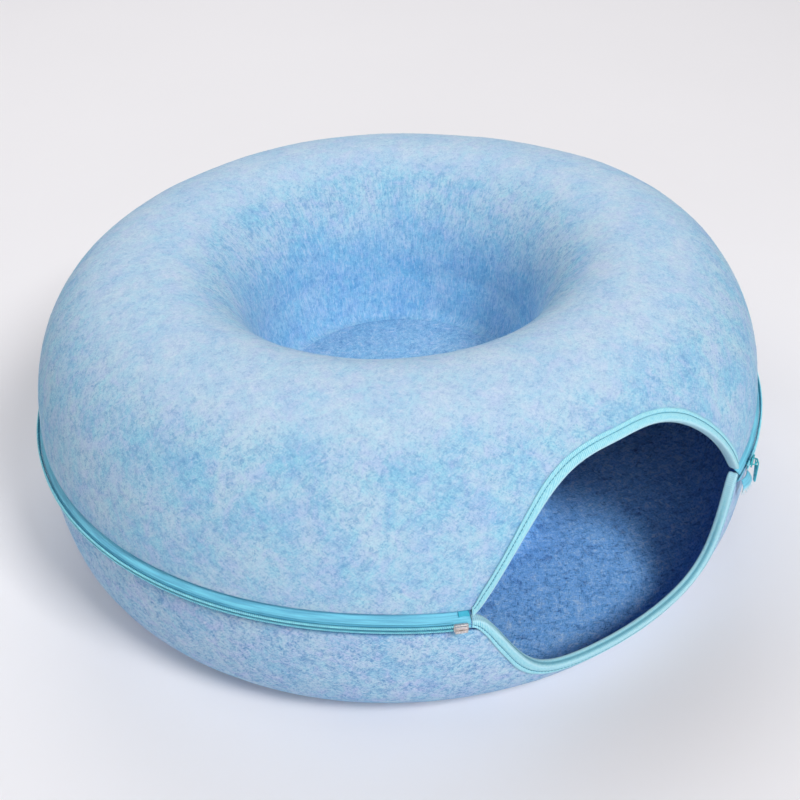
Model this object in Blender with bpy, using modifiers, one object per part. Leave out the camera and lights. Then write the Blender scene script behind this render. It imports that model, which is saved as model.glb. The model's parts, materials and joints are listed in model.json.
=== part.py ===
"""Felt cat cave: a round tunnel for a cat, made of two moulded felt halves.

The halves are zipped together round the outside. A lens-shaped entrance is cut across the zip and
its two edges are bound with ribbon. The top half turns down in the middle into a well, whose floor
is the raised centre of the bottom half.

Metres, +Z up. The origin is under the middle of the whole cave, on the surface it stands on, and the
ring's own axis lies a little in front of it. Azimuths are in degrees round that axis from -Y, where
the entrance is, towards +X.
"""

import bisect
import math

import bmesh
import bpy
from mathutils import Matrix, Vector

# The ring
RING_Y = -0.0056  # the ring's axis, so that the origin is under the middle of the whole
OUTER_R = 0.300  # felt, at the zip
HEIGHT = 0.245
ZIP_Z = 0.116  # middle line of the zip
CREST_R = 0.190  # the highest line of the ring
DOME_POWER = 2.25  # 2 is an ellipse, more is squarer
FELT = 0.004

# The well in the middle
THROAT_R = 0.115
THROAT_Z = 0.150
WELL_FLOOR_Z = 0.111
WELL_FLOOR_R = 0.105
WELL_FOOT_LIFT = 0.0014  # the slanting wall stands clear of the floor on its outer corner

# The bottom half
BASE_R = 0.228  # outer edge of the flat base
BASE_POWER = 3.1
CENTRE_FOOT_R = 0.134  # the raised centre, on its hollow side
CENTRE_TOP_R = 0.111
CENTRE_FOOT_FILLET = 0.018
CENTRE_TOP_FILLET = 0.0015

# The entrance, measured at the rim of its binding
ENTRANCE_HALF_DEG = 24.85
ARCH_CORNER = 0.0062  # the corners lie this far above the zip's middle line
LIP_CORNER = 0.0032
ARCH_RISE = 0.086
ARCH_POWER = 3.1
ARCH_FLARE = 1.34
LIP_DROP = 0.0800
LIP_POWER = 6.8
LIP_FLARE = 2.8
LIP_LEAN = 0.09  # how far its lowest stretch lies to the right, in half widths of the entrance
ENTRANCE_TILT = 0.0015  # the right corner is this much higher, the left one lower
BINDING_W = 0.0095
BINDING_T = 0.0011
FOLD_ROUND = 0.6  # how far round the fold starts, in thicknesses
ARCH_STRETCH = 1.3  # how much wider the binding may lie where the edge is steep
LIP_STRETCH = 2.0

# The zip
ZIP_OPEN = 0.0095  # from the middle line to each felt edge
TAPE_T = 0.0008
TAPE_HIDDEN = 0.006  # sewn on behind the felt
TAPE_SHOWS = 0.0009  # it runs on this far past the felt's edge before it turns out
TAPE_RIDGE_R = 0.3025  # the tape behind the coil
TAPE_LIP = 0.0032  # half the height of that stretch
TAPE_LIP_END = 0.0004  # how near its edge comes to the middle line
TAPE_LIP_OPEN = 0.0026  # and how near where the zip is open
COIL_IN_R = 0.3032
COIL_OUT_R = 0.3054
COIL_H = 0.0024
COIL_APART = 0.0003  # from the middle line
TAPE_END_DEG = 25.05
SLIDER_MOUTH_DEG = 29.2  # past this the two coils are closed
MOUTH_STEP_DEG = 0.1  # where the tapes' edges come together
BOX_FROM_DEG = -27.4
BOX_TO_DEG = -25.45
BOX_CLEAR_DEG = 0.1  # from the box to the coils' ends

GAP = 0.0003
SEAM_GAP = 0.0005  # between the felt and what is sewn to it
BEHIND_GAP = 0.0008  # between the ribbon and the felt's inner face

# Steps of the faces
ENTRANCE_STEPS = 22
CORNER_STEP_DEG = 2.15  # past the entrance's right corner
SLIDER_STEP_DEG = 1.2  # past the slider's mouth
ROUND_STEPS = 41
QUARTER_STEPS = 48
NORMAL_PROBE = 0.0005
BAND_LEAST = 0.004  # the felt's first row of faces is at least this wide
SHARP_DEG = 40.0

# How the soft ring is out of true: waves round the ring, size outwards and upwards, azimuth
UNEVEN = (
    {"waves": 2, "out": 0.0010, "up": 0.0012, "azimuth": 70.0},
    {"waves": 3, "out": 0.0012, "up": 0.0010, "azimuth": -50.0},
    {"waves": 5, "out": 0.0006, "up": 0.0006, "azimuth": 15.0},
)
CORNER_SAG = 0.003  # the zip sags at the entrance's corners
SAG_WIDTH_DEG = 10.0
SAG_DEPTH = 0.030
SAG_FROM_R = 0.20  # the sag starts outside this radius
SAG_FULL_R = 0.28

# The slider and its pull tab
SLIDER_DEG = 29.5
SLIDER_L = 0.0100
SLIDER_H = 0.0080
SLIDER_BACK_H = 0.0054
SLIDER_PLATE = 0.0010
SLIDER_SLOT = (0.3016, 0.3058)  # radii between the plates
SLIDER_BEVEL = 0.0004
SLIDER_POST_L = 0.0016
SLIDER_POST_H = 0.0022
CROWN_OUT = 0.0028
CROWN_L = 0.0086
CROWN_WIRE = 0.0004
CROWN_LEG = 0.00036
PULL_L = 0.0220
PULL_RING_W = 0.0064
PULL_TIP_W = 0.0040
PULL_T = 0.0010
PULL_HOLE = (0.0042, 0.0046)
PULL_HOLE_TOP = 0.0016  # above the middle of the crown's bar
PULL_TURN_DEG = 36.0
BOX_H = 0.0064
BOX_OUT_R = 0.3072
BOX_BEVEL = 0.0008

COLOURS = {
    "light_blue_felt": ((0.42, 0.60, 0.80), 0.95, 0.0),
    "cyan_zip_tape": ((0.22, 0.62, 0.80), 0.80, 0.0),
    "cyan_nylon_coil": ((0.30, 0.72, 0.86), 0.45, 0.0),
    "pale_cyan_ribbon": ((0.40, 0.78, 0.84), 0.75, 0.0),
    "teal_painted_zinc": ((0.16, 0.50, 0.54), 0.40, 0.6),
    "bare_zinc": ((0.70, 0.62, 0.54), 0.40, 0.9),
}


class Outline:
    """A line in the (radius, height) plane, read by the distance along it."""

    def __init__(self, stretches, outer_side):
        self.points = [stretches[0][0]]
        self.along = [0.0]
        self.ends = []
        self.outer_side = outer_side
        for stretch in stretches:
            for point in stretch:
                step = math.dist(self.points[-1], point)
                if step > 1e-7:
                    self.points.append(point)
                    self.along.append(self.along[-1] + step)
            self.ends.append(self.along[-1])

    def point(self, distance):
        if distance < 0.0:  # straight on past the start, where the line is upright
            r, z = self.points[0]
            return r, z + self.outer_side * distance
        distance = min(distance, self.along[-1])
        i = min(max(bisect.bisect_right(self.along, distance), 1), len(self.along) - 1)
        share = (distance - self.along[i - 1]) / (self.along[i] - self.along[i - 1])
        (r0, z0), (r1, z1) = self.points[i - 1], self.points[i]
        return r0 + (r1 - r0) * share, z0 + (z1 - z0) * share

    def moved(self, distance, out):
        """The point at a distance along the line, moved out of its outer face."""
        r0, z0 = self.point(distance - NORMAL_PROBE)
        r1, z1 = self.point(distance + NORMAL_PROBE)
        size = math.dist((r0, z0), (r1, z1)) * self.outer_side
        r, z = self.point(distance)
        return r + (z1 - z0) / size * out, z - (r1 - r0) / size * out

    def distance_at_height(self, height):
        """How far along it the line first passes a height."""
        before_start = (self.points[0][1] - height) * self.outer_side
        if before_start >= 0.0:
            return -before_start
        for i in range(1, len(self.points)):
            z0, z1 = self.points[i - 1][1], self.points[i][1]
            if (z0 - height) * (z1 - height) <= 0 and z0 != z1:
                share = (height - z0) / (z1 - z0)
                return self.along[i - 1] + share * (self.along[i] - self.along[i - 1])
        raise ValueError("the outline never reaches that height")

    def steps(self, stretch, count):
        """Distances that cut one stretch into equal steps, without its start."""
        start = self.ends[stretch - 1] if stretch else 0.0
        return [start + (self.ends[stretch] - start) * i / count for i in range(1, count + 1)]


def quarter(side, top, power):
    """A quarter turn from a point where the line is upright to one where it is level."""
    points = []
    for i in range(QUARTER_STEPS + 1):
        turn = math.pi / 2 * i / QUARTER_STEPS
        across = max(math.cos(turn), 0.0) ** (2 / power)
        up = math.sin(turn) ** (2 / power)
        points.append((top[0] + (side[0] - top[0]) * across, side[1] + (top[1] - side[1]) * up))
    return points


def fillet(before, corner, after, radius, count=8):
    """The round that replaces a corner between two straight lines."""
    corner = Vector(corner)
    back = (Vector(before) - corner).normalized()
    ahead = (Vector(after) - corner).normalized()
    half = back.angle(ahead) / 2
    centre = corner + (back + ahead).normalized() * (radius / math.sin(half))
    start = corner + back * (radius / math.tan(half)) - centre
    turn = math.pi - 2 * half
    if back.x * ahead.y - back.y * ahead.x > 0:
        turn = -turn
    return [tuple(centre + Matrix.Rotation(turn * i / count, 2) @ start) for i in range(count + 1)]


def top_outline():
    zip_point, crest, throat = (OUTER_R, ZIP_Z), (CREST_R, HEIGHT), (THROAT_R, THROAT_Z)
    return Outline(
        [
            quarter(zip_point, crest, DOME_POWER),
            quarter(throat, crest, 2.0)[::-1],
            [throat, (WELL_FLOOR_R, WELL_FLOOR_Z + WELL_FOOT_LIFT)],
        ],
        outer_side=1,
    )


def bottom_outline():
    base_edge, foot = (BASE_R, 0.0), (CENTRE_FOOT_R, 0.0)
    shoulder, middle = (CENTRE_TOP_R, WELL_FLOOR_Z - FELT), (0.0, WELL_FLOOR_Z - FELT)
    foot_round = fillet(base_edge, foot, shoulder, CENTRE_FOOT_FILLET)
    shoulder_round = fillet(foot, shoulder, middle, CENTRE_TOP_FILLET, 4)
    return Outline(
        [
            quarter((OUTER_R, ZIP_Z), base_edge, BASE_POWER),
            [base_edge, foot_round[0]],
            foot_round,
            [foot_round[-1], shoulder_round[0]],
            shoulder_round,
            [shoulder_round[-1], middle],
        ],
        outer_side=-1,
    )


def arch_height(azimuth):
    across = azimuth / ENTRANCE_HALF_DEG
    rise = ARCH_RISE * max(1 - abs(across) ** ARCH_POWER, 0.0) ** ARCH_FLARE
    return ZIP_Z + ARCH_CORNER + ENTRANCE_TILT * across + rise


def lip_height(azimuth):
    across = azimuth / ENTRANCE_HALF_DEG
    leaning = across - LIP_LEAN * (1 - across**2)
    drop = LIP_DROP * max(1 - abs(leaning) ** LIP_POWER, 0.0) ** LIP_FLARE
    return ZIP_Z + LIP_CORNER + ENTRANCE_TILT * across - drop


def uneven(r, azimuth, z):
    """Puts a point of the true ring where it lies on the soft one. The base stays flat."""
    lift = z / HEIGHT
    out = up = 0.0
    for wave in UNEVEN:
        swing = math.cos(math.radians(wave["waves"] * (azimuth - wave["azimuth"])))
        out += wave["out"] * swing
        up += wave["up"] * swing
    from_middle = min(r / OUTER_R, 1.0)
    outside = min(max((r - SAG_FROM_R) / (SAG_FULL_R - SAG_FROM_R), 0.0), 1.0)
    near_zip = math.exp(-(((z - ZIP_Z) / SAG_DEPTH) ** 2))
    side = (abs(azimuth) - ENTRANCE_HALF_DEG) / SAG_WIDTH_DEG
    sag = CORNER_SAG * outside * near_zip * math.exp(-(side**2))
    turn = math.radians(azimuth)
    r += out * lift * from_middle
    up = up * lift * from_middle - sag
    return Vector((r * math.sin(turn), RING_Y - r * math.cos(turn), z + up))


def wrapped(azimuth):
    return (azimuth + 180.0) % 360.0 - 180.0


def entrance_columns():
    step = 2 * ENTRANCE_HALF_DEG / ENTRANCE_STEPS
    return [-ENTRANCE_HALF_DEG + step * i for i in range(ENTRANCE_STEPS + 1)]


def round_columns():
    """The columns of the rest of the ring, from the entrance's right side round to its left."""
    after_corner = ENTRANCE_HALF_DEG + CORNER_STEP_DEG
    after_slider = SLIDER_MOUTH_DEG + SLIDER_STEP_DEG
    before_box = 360.0 + BOX_FROM_DEG - BOX_CLEAR_DEG
    step = (before_box - after_slider) / ROUND_STEPS
    rest = [wrapped(after_slider + step * (i + 1)) for i in range(ROUND_STEPS)]
    return [after_corner, SLIDER_MOUTH_DEG, after_slider] + rest


def edge_of(outline, height_at):
    """For each column of the entrance, how far along the outline its rim and its band reach."""
    columns = entrance_columns()
    rims = [outline.distance_at_height(height_at(azimuth)) for azimuth in columns]
    stretch = ARCH_STRETCH if outline.outer_side > 0 else LIP_STRETCH
    edges = []
    for i, azimuth in enumerate(columns):
        j, k = max(i - 1, 0), min(i + 1, len(columns) - 1)
        width = math.radians(columns[k] - columns[j]) * outline.point(rims[i])[0]
        steep = math.hypot(1.0, (rims[k] - rims[j]) / width)
        edges.append(
            {
                "azimuth": azimuth,
                "rim": rims[i],
                "felt": rims[i] + (SEAM_GAP + BINDING_T) * steep,
                "band": rims[i] + BINDING_W * min(steep, stretch),
                "steep": steep,
            }
        )
    return edges


def felt_rows(outline, edges, free_rows, fixed_rows):
    """The distances along the outline of every point of every column, by azimuth."""
    columns = {}
    for azimuth in round_columns():
        columns[azimuth] = (ZIP_OPEN, ZIP_OPEN + BINDING_W)
    for edge in edges:
        felt = max(edge["felt"], ZIP_OPEN)
        columns[edge["azimuth"]] = (felt, max(edge["band"], felt + BAND_LEAST))
    rows = {}
    for azimuth, (felt, band) in columns.items():
        free = [
            band + (outline.ends[0] - band) * (i + 1) / free_rows for i in range(free_rows)
        ]
        rows[azimuth] = [felt, band] + free + fixed_rows
    return rows


def new_object(name, mesh, collection, root):
    obj = bpy.data.objects.new(name, mesh)
    collection.objects.link(obj)
    obj.parent = root
    return obj


def paint(obj, colour_name):
    material = bpy.data.materials.get(colour_name)
    if material is None:
        colour, roughness, metallic = COLOURS[colour_name]
        material = bpy.data.materials.new(colour_name)
        material.use_nodes = True
        shader = material.node_tree.nodes["Principled BSDF"]
        shader.inputs["Base Color"].default_value = (*colour, 1.0)
        shader.inputs["Roughness"].default_value = roughness
        shader.inputs["Metallic"].default_value = metallic
    obj.data.materials.clear()
    obj.data.materials.append(material)


def smooth(obj):
    obj.data.shade_smooth()
    obj.data.set_sharp_from_angle(angle=math.radians(SHARP_DEG))


def felt_half(name, outline, rows, closed_middle, collection, root):
    """One half: its outer face lofted column by column, then given the felt's thickness."""
    azimuths = sorted(rows)
    mesh = bpy.data.meshes.new(name)
    bm = bmesh.new()
    grid = []
    for azimuth in azimuths:
        points = [outline.point(distance) for distance in rows[azimuth]]
        grid.append([bm.verts.new(uneven(r, azimuth, z)) for r, z in points])
    for left, right in zip(grid, grid[1:] + grid[:1]):
        for row in range(len(left) - 1):
            corners = (left[row], right[row], right[row + 1], left[row + 1])
            bm.faces.new(corners if outline.outer_side > 0 else corners[::-1])
    if closed_middle:
        r, z = outline.point(outline.along[-1])
        middle = bm.verts.new(uneven(r, 0.0, z))
        for left, right in zip(grid, grid[1:] + grid[:1]):
            bm.faces.new((left[-1], middle, right[-1]))
    bmesh.ops.triangulate(bm, faces=bm.faces, quad_method="SHORT_EDGE")
    bm.to_mesh(mesh)
    bm.free()
    obj = new_object(name, mesh, collection, root)
    thickness = obj.modifiers.new("felt", "SOLIDIFY")
    thickness.thickness = FELT
    thickness.offset = -1.0
    thickness.use_even_offset = True
    smooth(obj)
    paint(obj, "light_blue_felt")
    return obj


def loft(name, sections, colour, collection, root):
    """A solid through a row of unlike sections of the same number of points."""
    mesh = bpy.data.meshes.new(name)
    bm = bmesh.new()
    rings = [[bm.verts.new(point) for point in section] for section in sections]
    count = len(sections[0])
    for ring, following in zip(rings, rings[1:]):
        for i in range(count):
            j = (i + 1) % count
            bm.faces.new((ring[i], ring[j], following[j], following[i]))
    bmesh.ops.triangulate(bm, faces=bm.faces, quad_method="SHORT_EDGE")
    bm.faces.new(rings[0][::-1])
    bm.faces.new(rings[-1])
    bmesh.ops.recalc_face_normals(bm, faces=bm.faces)
    bm.to_mesh(mesh)
    bm.free()
    obj = new_object(name, mesh, collection, root)
    smooth(obj)
    paint(obj, colour)
    return obj


def binding(name, outline, edges, collection, root):
    """The ribbon folded over one edge of the entrance, outside, round the rim and inside."""
    inner = -FELT - BEHIND_GAP
    sections = []
    for edge in edges:
        rim, band = edge["rim"], edge["band"]
        round_off = BINDING_T * FOLD_ROUND * edge["steep"]
        inside_rim = rim + BINDING_T * edge["steep"]
        places = (
            (band, SEAM_GAP),
            (band, SEAM_GAP + BINDING_T),
            (rim + round_off, SEAM_GAP + BINDING_T),
            (rim, 0.0),
            (rim, -FELT),
            (rim + round_off, inner - BINDING_T),
            (band, inner - BINDING_T),
            (band, inner),
            (inside_rim, inner),
            (inside_rim, SEAM_GAP),
        )
        section = [
            uneven(r, edge["azimuth"], z)
            for r, z in (outline.moved(distance, out) for distance, out in places)
        ]
        sections.append(section)
    return loft(name, sections, "pale_cyan_ribbon", collection, root)


def ribbon(path, thickness):
    """The closed outline of a thin strip whose middle line is the path."""
    sides = ([], [])
    for i, (x, y) in enumerate(path):
        x0, y0 = path[max(i - 1, 0)]
        x1, y1 = path[min(i + 1, len(path) - 1)]
        size = math.dist((x0, y0), (x1, y1))
        nx, ny = (y1 - y0) / size, -(x1 - x0) / size
        for side, sign in zip(sides, (0.5, -0.5)):
            side.append((x + nx * thickness * sign, y + ny * thickness * sign))
    return sides[0] + sides[1][::-1]


def tape(name, outline, collection, root):
    """One zip tape: sewn on behind the felt, then slanting out to the coil that it carries."""
    behind = -FELT - SEAM_GAP - TAPE_T / 2
    up = outline.outer_side
    sections = []
    ring = round_columns()
    mouth = SLIDER_MOUTH_DEG - MOUTH_STEP_DEG
    columns = [TAPE_END_DEG, ring[0], mouth] + ring[1:] + [-TAPE_END_DEG]
    for azimuth in columns:
        lip_end = TAPE_LIP_OPEN if 0 < azimuth < SLIDER_MOUTH_DEG else TAPE_LIP_END
        path = (
            outline.moved(ZIP_OPEN + TAPE_HIDDEN, behind),
            outline.moved(ZIP_OPEN - TAPE_SHOWS, behind),
            (TAPE_RIDGE_R, ZIP_Z + up * TAPE_LIP),
            (TAPE_RIDGE_R, ZIP_Z + up * lip_end),
        )
        sections.append([uneven(r, azimuth, z) for r, z in ribbon(path, TAPE_T)])
    return loft(name, sections, "cyan_zip_tape", collection, root)


def coil(name, up, collection, root):
    """One row of the zip's nylon coil, as the band that its turns fill."""
    sections = []
    near, far = COIL_APART, COIL_APART + COIL_H
    middle_r = (COIL_IN_R + COIL_OUT_R) / 2
    band = (
        (COIL_IN_R, near),
        (middle_r, near),
        (COIL_OUT_R, (near + far) / 2),
        (middle_r, far),
        (COIL_IN_R, far),
    )
    for azimuth in round_columns()[1:]:
        sections.append([uneven(r, azimuth, ZIP_Z + up * z) for r, z in band])
    return loft(name, sections, "cyan_nylon_coil", collection, root)


def block(name, low, high, bevel, collection):
    """A box between two corners with rounded edges."""
    bpy.ops.mesh.primitive_cube_add(size=1.0)
    obj = bpy.context.object
    obj.name = name
    size = Vector(high) - Vector(low)
    obj.data.transform(Matrix.Translation((Vector(low) + Vector(high)) / 2) @ Matrix.Diagonal((*size, 1)))
    for old in list(obj.users_collection):
        old.objects.unlink(obj)
    collection.objects.link(obj)
    if bevel:
        rounding = obj.modifiers.new("edges", "BEVEL")
        rounding.width = bevel
        rounding.segments = 1
    return obj


def join(obj, other):
    """Unites another object with this one and keeps it as a hidden guide."""
    union = obj.modifiers.new(other.name, "BOOLEAN")
    union.operation = "UNION"
    union.object = other
    other.hide_render = True
    other.display_type = "WIRE"
    other.parent = obj


def place_on_zip(obj, azimuth, root):
    """Local +X runs along the zip, -Y out of the ring and +Z up, from the zip's middle line."""
    obj.rotation_euler = (0.0, 0.0, math.radians(azimuth))
    true_place = uneven(OUTER_R, azimuth, ZIP_Z)
    out = Vector((math.sin(math.radians(azimuth)), -math.cos(math.radians(azimuth)), 0.0))
    obj.location = true_place - out * OUTER_R
    obj.parent = root


def slider(collection, cutters, root):
    """Two plates and a post round the closed coil, with a crown for the pull."""
    back_r, front_r = SLIDER_SLOT
    half = SLIDER_L / 2
    front = block(
        "zip_slider",
        (-half, -front_r - SLIDER_PLATE, -SLIDER_H / 2),
        (half, -front_r, SLIDER_H / 2),
        SLIDER_BEVEL,
        collection,
    )
    back = block(
        "slider_back",
        (-half, -back_r, -SLIDER_BACK_H / 2),
        (half, -back_r + SLIDER_PLATE, SLIDER_BACK_H / 2),
        0.0,
        cutters,
    )
    post = block(
        "slider_post",
        (-half, -front_r - SLIDER_PLATE / 2, -SLIDER_POST_H / 2),
        (-half + SLIDER_POST_L, -back_r + SLIDER_PLATE / 2, SLIDER_POST_H / 2),
        0.0,
        cutters,
    )
    crown_out = front_r + SLIDER_PLATE + CROWN_OUT
    bar = block(
        "slider_crown",
        (-CROWN_L / 2, -crown_out - CROWN_WIRE, -CROWN_WIRE),
        (CROWN_L / 2, -crown_out + CROWN_WIRE, CROWN_WIRE),
        0.0,
        cutters,
    )
    for piece in (back, post, bar):
        join(front, piece)
    for side in (-1, 1):
        x = side * (CROWN_L / 2 - CROWN_WIRE)
        leg = block(
            f"slider_crown_leg_{side}",
            (x - CROWN_LEG, -crown_out, -CROWN_LEG),
            (x + CROWN_LEG, -front_r - SLIDER_PLATE / 2, CROWN_LEG),
            0.0,
            cutters,
        )
        join(front, leg)
    paint(front, "teal_painted_zinc")
    place_on_zip(front, SLIDER_DEG, root)
    return front


def rounded_bar(curve, top, bottom, top_width, bottom_width, steps=6):
    """Adds a closed outline with round ends that is wider at its top."""
    points = []
    for end, width, start in ((top, top_width, 0.0), (bottom, bottom_width, math.pi)):
        centre = end - width / 2 if start == 0.0 else end + width / 2
        for i in range(steps + 1):
            turn = start + math.pi * i / steps
            points.append((width / 2 * math.cos(turn), centre + width / 2 * math.sin(turn)))
    spline = curve.splines.new("POLY")
    spline.points.add(len(points) - 1)
    for target, (x, y) in zip(spline.points, points):
        target.co = (x, y, 0.0, 1.0)
    spline.use_cyclic_u = True


def pull_tab(collection, root):
    """A flat tab with a ring at its top, hanging on the crown."""
    curve = bpy.data.curves.new("zip_pull_tab", "CURVE")
    curve.dimensions = "2D"
    curve.fill_mode = "BOTH"
    curve.extrude = PULL_T / 2
    hole_w, hole_l = PULL_HOLE
    ring_wall = (PULL_RING_W - hole_w) / 2
    top = PULL_HOLE_TOP + ring_wall
    rounded_bar(curve, top, top - PULL_L, PULL_RING_W, PULL_TIP_W)
    rounded_bar(curve, PULL_HOLE_TOP, PULL_HOLE_TOP - hole_l, hole_w, hole_w)
    flat = bpy.data.objects.new("pull_tab_outline", curve)
    collection.objects.link(flat)
    upright = Matrix.Rotation(math.radians(90), 4, "X")
    turned = Matrix.Rotation(math.radians(PULL_TURN_DEG), 4, "Z")
    out = Matrix.Translation((0.0, -(SLIDER_SLOT[1] + SLIDER_PLATE + CROWN_OUT), 0.0))
    bpy.context.view_layer.update()
    mesh = bpy.data.meshes.new_from_object(flat.evaluated_get(bpy.context.evaluated_depsgraph_get()))
    mesh.transform(out @ turned @ upright)
    mesh.name = "zip_pull_tab"
    bm = bmesh.new()
    bm.from_mesh(mesh)
    bmesh.ops.remove_doubles(bm, verts=bm.verts, dist=0.00001)
    bmesh.ops.recalc_face_normals(bm, faces=bm.faces)
    bm.to_mesh(mesh)
    bm.free()
    bpy.data.objects.remove(flat)
    obj = bpy.data.objects.new("zip_pull_tab", mesh)
    collection.objects.link(obj)
    paint(obj, "teal_painted_zinc")
    place_on_zip(obj, SLIDER_DEG, root)
    return obj


def retainer_box(collection, root):
    """The metal box that holds the start of both coils at the entrance's left corner."""
    middle = (BOX_FROM_DEG + BOX_TO_DEG) / 2
    half = math.radians(BOX_TO_DEG - BOX_FROM_DEG) / 2 * OUTER_R
    back_r = TAPE_RIDGE_R + TAPE_T / 2 + GAP
    box = block(
        "zip_retainer_box",
        (-half, -BOX_OUT_R, -BOX_H / 2),
        (half, -back_r, BOX_H / 2),
        BOX_BEVEL,
        collection,
    )
    paint(box, "bare_zinc")
    place_on_zip(box, middle, root)
    return box


def build():
    for obj in list(bpy.data.objects):
        bpy.data.objects.remove(obj)
    cave = bpy.data.collections.new("felt_cat_cave")
    cutters = bpy.data.collections.new("joining_shapes")
    bpy.context.scene.collection.children.link(cave)
    bpy.context.scene.collection.children.link(cutters)
    root = bpy.data.objects.new("felt_cat_cave_root", None)
    cave.objects.link(root)

    top, bottom = top_outline(), bottom_outline()
    arch, lip = edge_of(top, arch_height), edge_of(bottom, lip_height)
    top_fixed = top.steps(1, 6) + top.steps(2, 2)
    bottom_fixed = (
        bottom.steps(1, 1) + bottom.steps(2, 3) + bottom.steps(3, 1) + bottom.steps(4, 1)
    )
    bottom_fixed += bottom.steps(5, 2)[:1]
    felt_half("felt_top_half", top, felt_rows(top, arch, 7, top_fixed), False, cave, root)
    felt_half("felt_bottom_half", bottom, felt_rows(bottom, lip, 8, bottom_fixed), True, cave, root)
    binding("entrance_binding_top", top, arch, cave, root)
    binding("entrance_binding_bottom", bottom, lip, cave, root)
    for name, outline in (("top", top), ("bottom", bottom)):
        tape(f"zip_tape_{name}", outline, cave, root)
        coil(f"zip_coil_{name}", outline.outer_side, cave, root)
    slider(cave, cutters, root)
    pull_tab(cave, root)
    retainer_box(cave, root)


build()
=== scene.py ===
"""Felt cat cave: the looks of a round felt tunnel for a cat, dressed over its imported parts.

Metres, +Z up. The origin is under the middle of the whole cave, on the floor, and the ring's own
axis lies a little in front of it. Azimuths are in degrees round that axis from -Y, where the
entrance is, towards +X. A place on the felt is given as an azimuth, a distance along the outline of
its half, from the zip's middle line, and an offset out of its outer face.
"""

import json
import math

import bmesh
import bpy
import numpy as np
from mathutils import Matrix, Vector

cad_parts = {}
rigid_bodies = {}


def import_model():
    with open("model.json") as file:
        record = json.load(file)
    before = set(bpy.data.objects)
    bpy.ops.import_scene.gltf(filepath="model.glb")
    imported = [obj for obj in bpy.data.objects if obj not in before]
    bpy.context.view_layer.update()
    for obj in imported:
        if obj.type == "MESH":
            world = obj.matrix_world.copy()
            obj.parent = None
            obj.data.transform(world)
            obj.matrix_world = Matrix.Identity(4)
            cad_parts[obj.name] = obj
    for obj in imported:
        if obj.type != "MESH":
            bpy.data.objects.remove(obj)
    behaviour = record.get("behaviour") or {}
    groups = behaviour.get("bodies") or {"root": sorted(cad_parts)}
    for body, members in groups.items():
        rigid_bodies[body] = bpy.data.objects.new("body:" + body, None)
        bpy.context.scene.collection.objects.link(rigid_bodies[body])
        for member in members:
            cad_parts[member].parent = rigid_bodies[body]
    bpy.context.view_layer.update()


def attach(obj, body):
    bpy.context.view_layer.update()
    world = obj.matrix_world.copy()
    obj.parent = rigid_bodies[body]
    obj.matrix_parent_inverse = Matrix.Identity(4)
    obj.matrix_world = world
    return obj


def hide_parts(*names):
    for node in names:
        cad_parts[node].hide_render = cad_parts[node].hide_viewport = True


bl_info = {
    "name": "Felt cat cave",
    "version": (1, 0, 0),
    "blender": (4, 5, 0),
    "location": "View3D > Sidebar > Cat cave",
    "description": "Dresses the packed parts of a felt cat cave and lights it",
    "category": "Object",
}

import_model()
BODY = "root"

# The ring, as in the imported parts
RING_Y = -0.0056
OUTER_R = 0.300
HEIGHT = 0.245
ZIP_Z = 0.116
CREST_R = 0.190
DOME_POWER = 2.25
FELT = 0.004
THROAT_R = 0.115
THROAT_Z = 0.150
WELL_FLOOR_Z = 0.111
WELL_FLOOR_R = 0.105
WELL_FOOT_FLARE = 0.009  # the wall turns in a little where it stands on the floor
BASE_R = 0.228
BASE_POWER = 3.1
CENTRE_FOOT_R = 0.134
CENTRE_TOP_R = 0.111
CENTRE_FOOT_FILLET = 0.018
CENTRE_TOP_FILLET = 0.0015

# The entrance
ENTRANCE_HALF_DEG = 24.85
ARCH_CORNER = 0.0062
LIP_CORNER = 0.0032
ARCH_RISE = 0.086
ARCH_POWER = 3.1
ARCH_FLARE = 1.34
LIP_DROP = 0.0800
LIP_POWER = 6.8
LIP_FLARE = 2.8
LIP_LEAN = 0.09
ENTRANCE_TILT = 0.0015
BINDING_W = 0.0095
BINDING_T = 0.0011
ARCH_STRETCH = 1.3
LIP_STRETCH = 2.0
SEAM_GAP = 0.0005
BEHIND_GAP = 0.0008

# The ribbon over the entrance's edges. The rows of its section run from its free edge outside,
# across the outer leaf, round the fold and back behind the felt.
LEAF_SHAPE = (  # of each point of the outer leaf: share of the width, and of the thickness
    (1.0, 0.25),
    (0.985, 0.62),
    (0.94, 0.80),
    (0.84, 0.88),
    (0.74, 0.72),
    (0.69, 0.42),
    (0.66, 0.36),
    (0.63, 0.42),
    (0.58, 0.74),
    (0.48, 0.95),
    (0.34, 1.0),
    (0.22, 1.0),
)
# FOLD_GROOVE also sets where shade is painted along the lower ribbon's fold.
FOLD_GROOVE = (0.0, 0.0, 0.0, 0.5, 1.0, 0.1, 0.0, 0.0, 0.0)  # of the lower ribbon, row by row
FOLD_GROOVE_DEPTH = 0.0006
FOLD_DEPTH = 1.35  # how far the fold reaches round the felt's edge, in the ribbon's thicknesses
FOLD_POWER = 0.7
TUCKED_IN = 1.7  # where the ribbon's back leaves the felt's edge, in the ribbon's thicknesses
INNER_LEAF = 0.5  # the ribbon reaches in behind the felt by this share of its width outside
TIP_DEG = 1.6  # the ribbon narrows over these degrees before each corner of the entrance
TIP_WIDTH = 0.72
WANDERING_ROWS = 6
FRINGE_ROW = 1
OUTER_SEAM_ROW = 6
FOLD_ROW = 12
MEASURED_ROW = 15
INNER_SEAM_ROW = 24
RIBBON_WANDER = 0.00025
SEAM_STITCH_SHARE = 0.86  # of the seam's pitch, so that a little ribbon shows between stitches
SEAM_THREAD_T = 0.00045
FRINGE_PITCH = 0.0009
FRINGE_HAIR = ((0, -0.0002, 0), (0, 0.0005, 0.0001), (0, 0.0011, 0))
FRINGE_HAIR_RADII = (0.00012, 0.0001, 0.00004)

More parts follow.
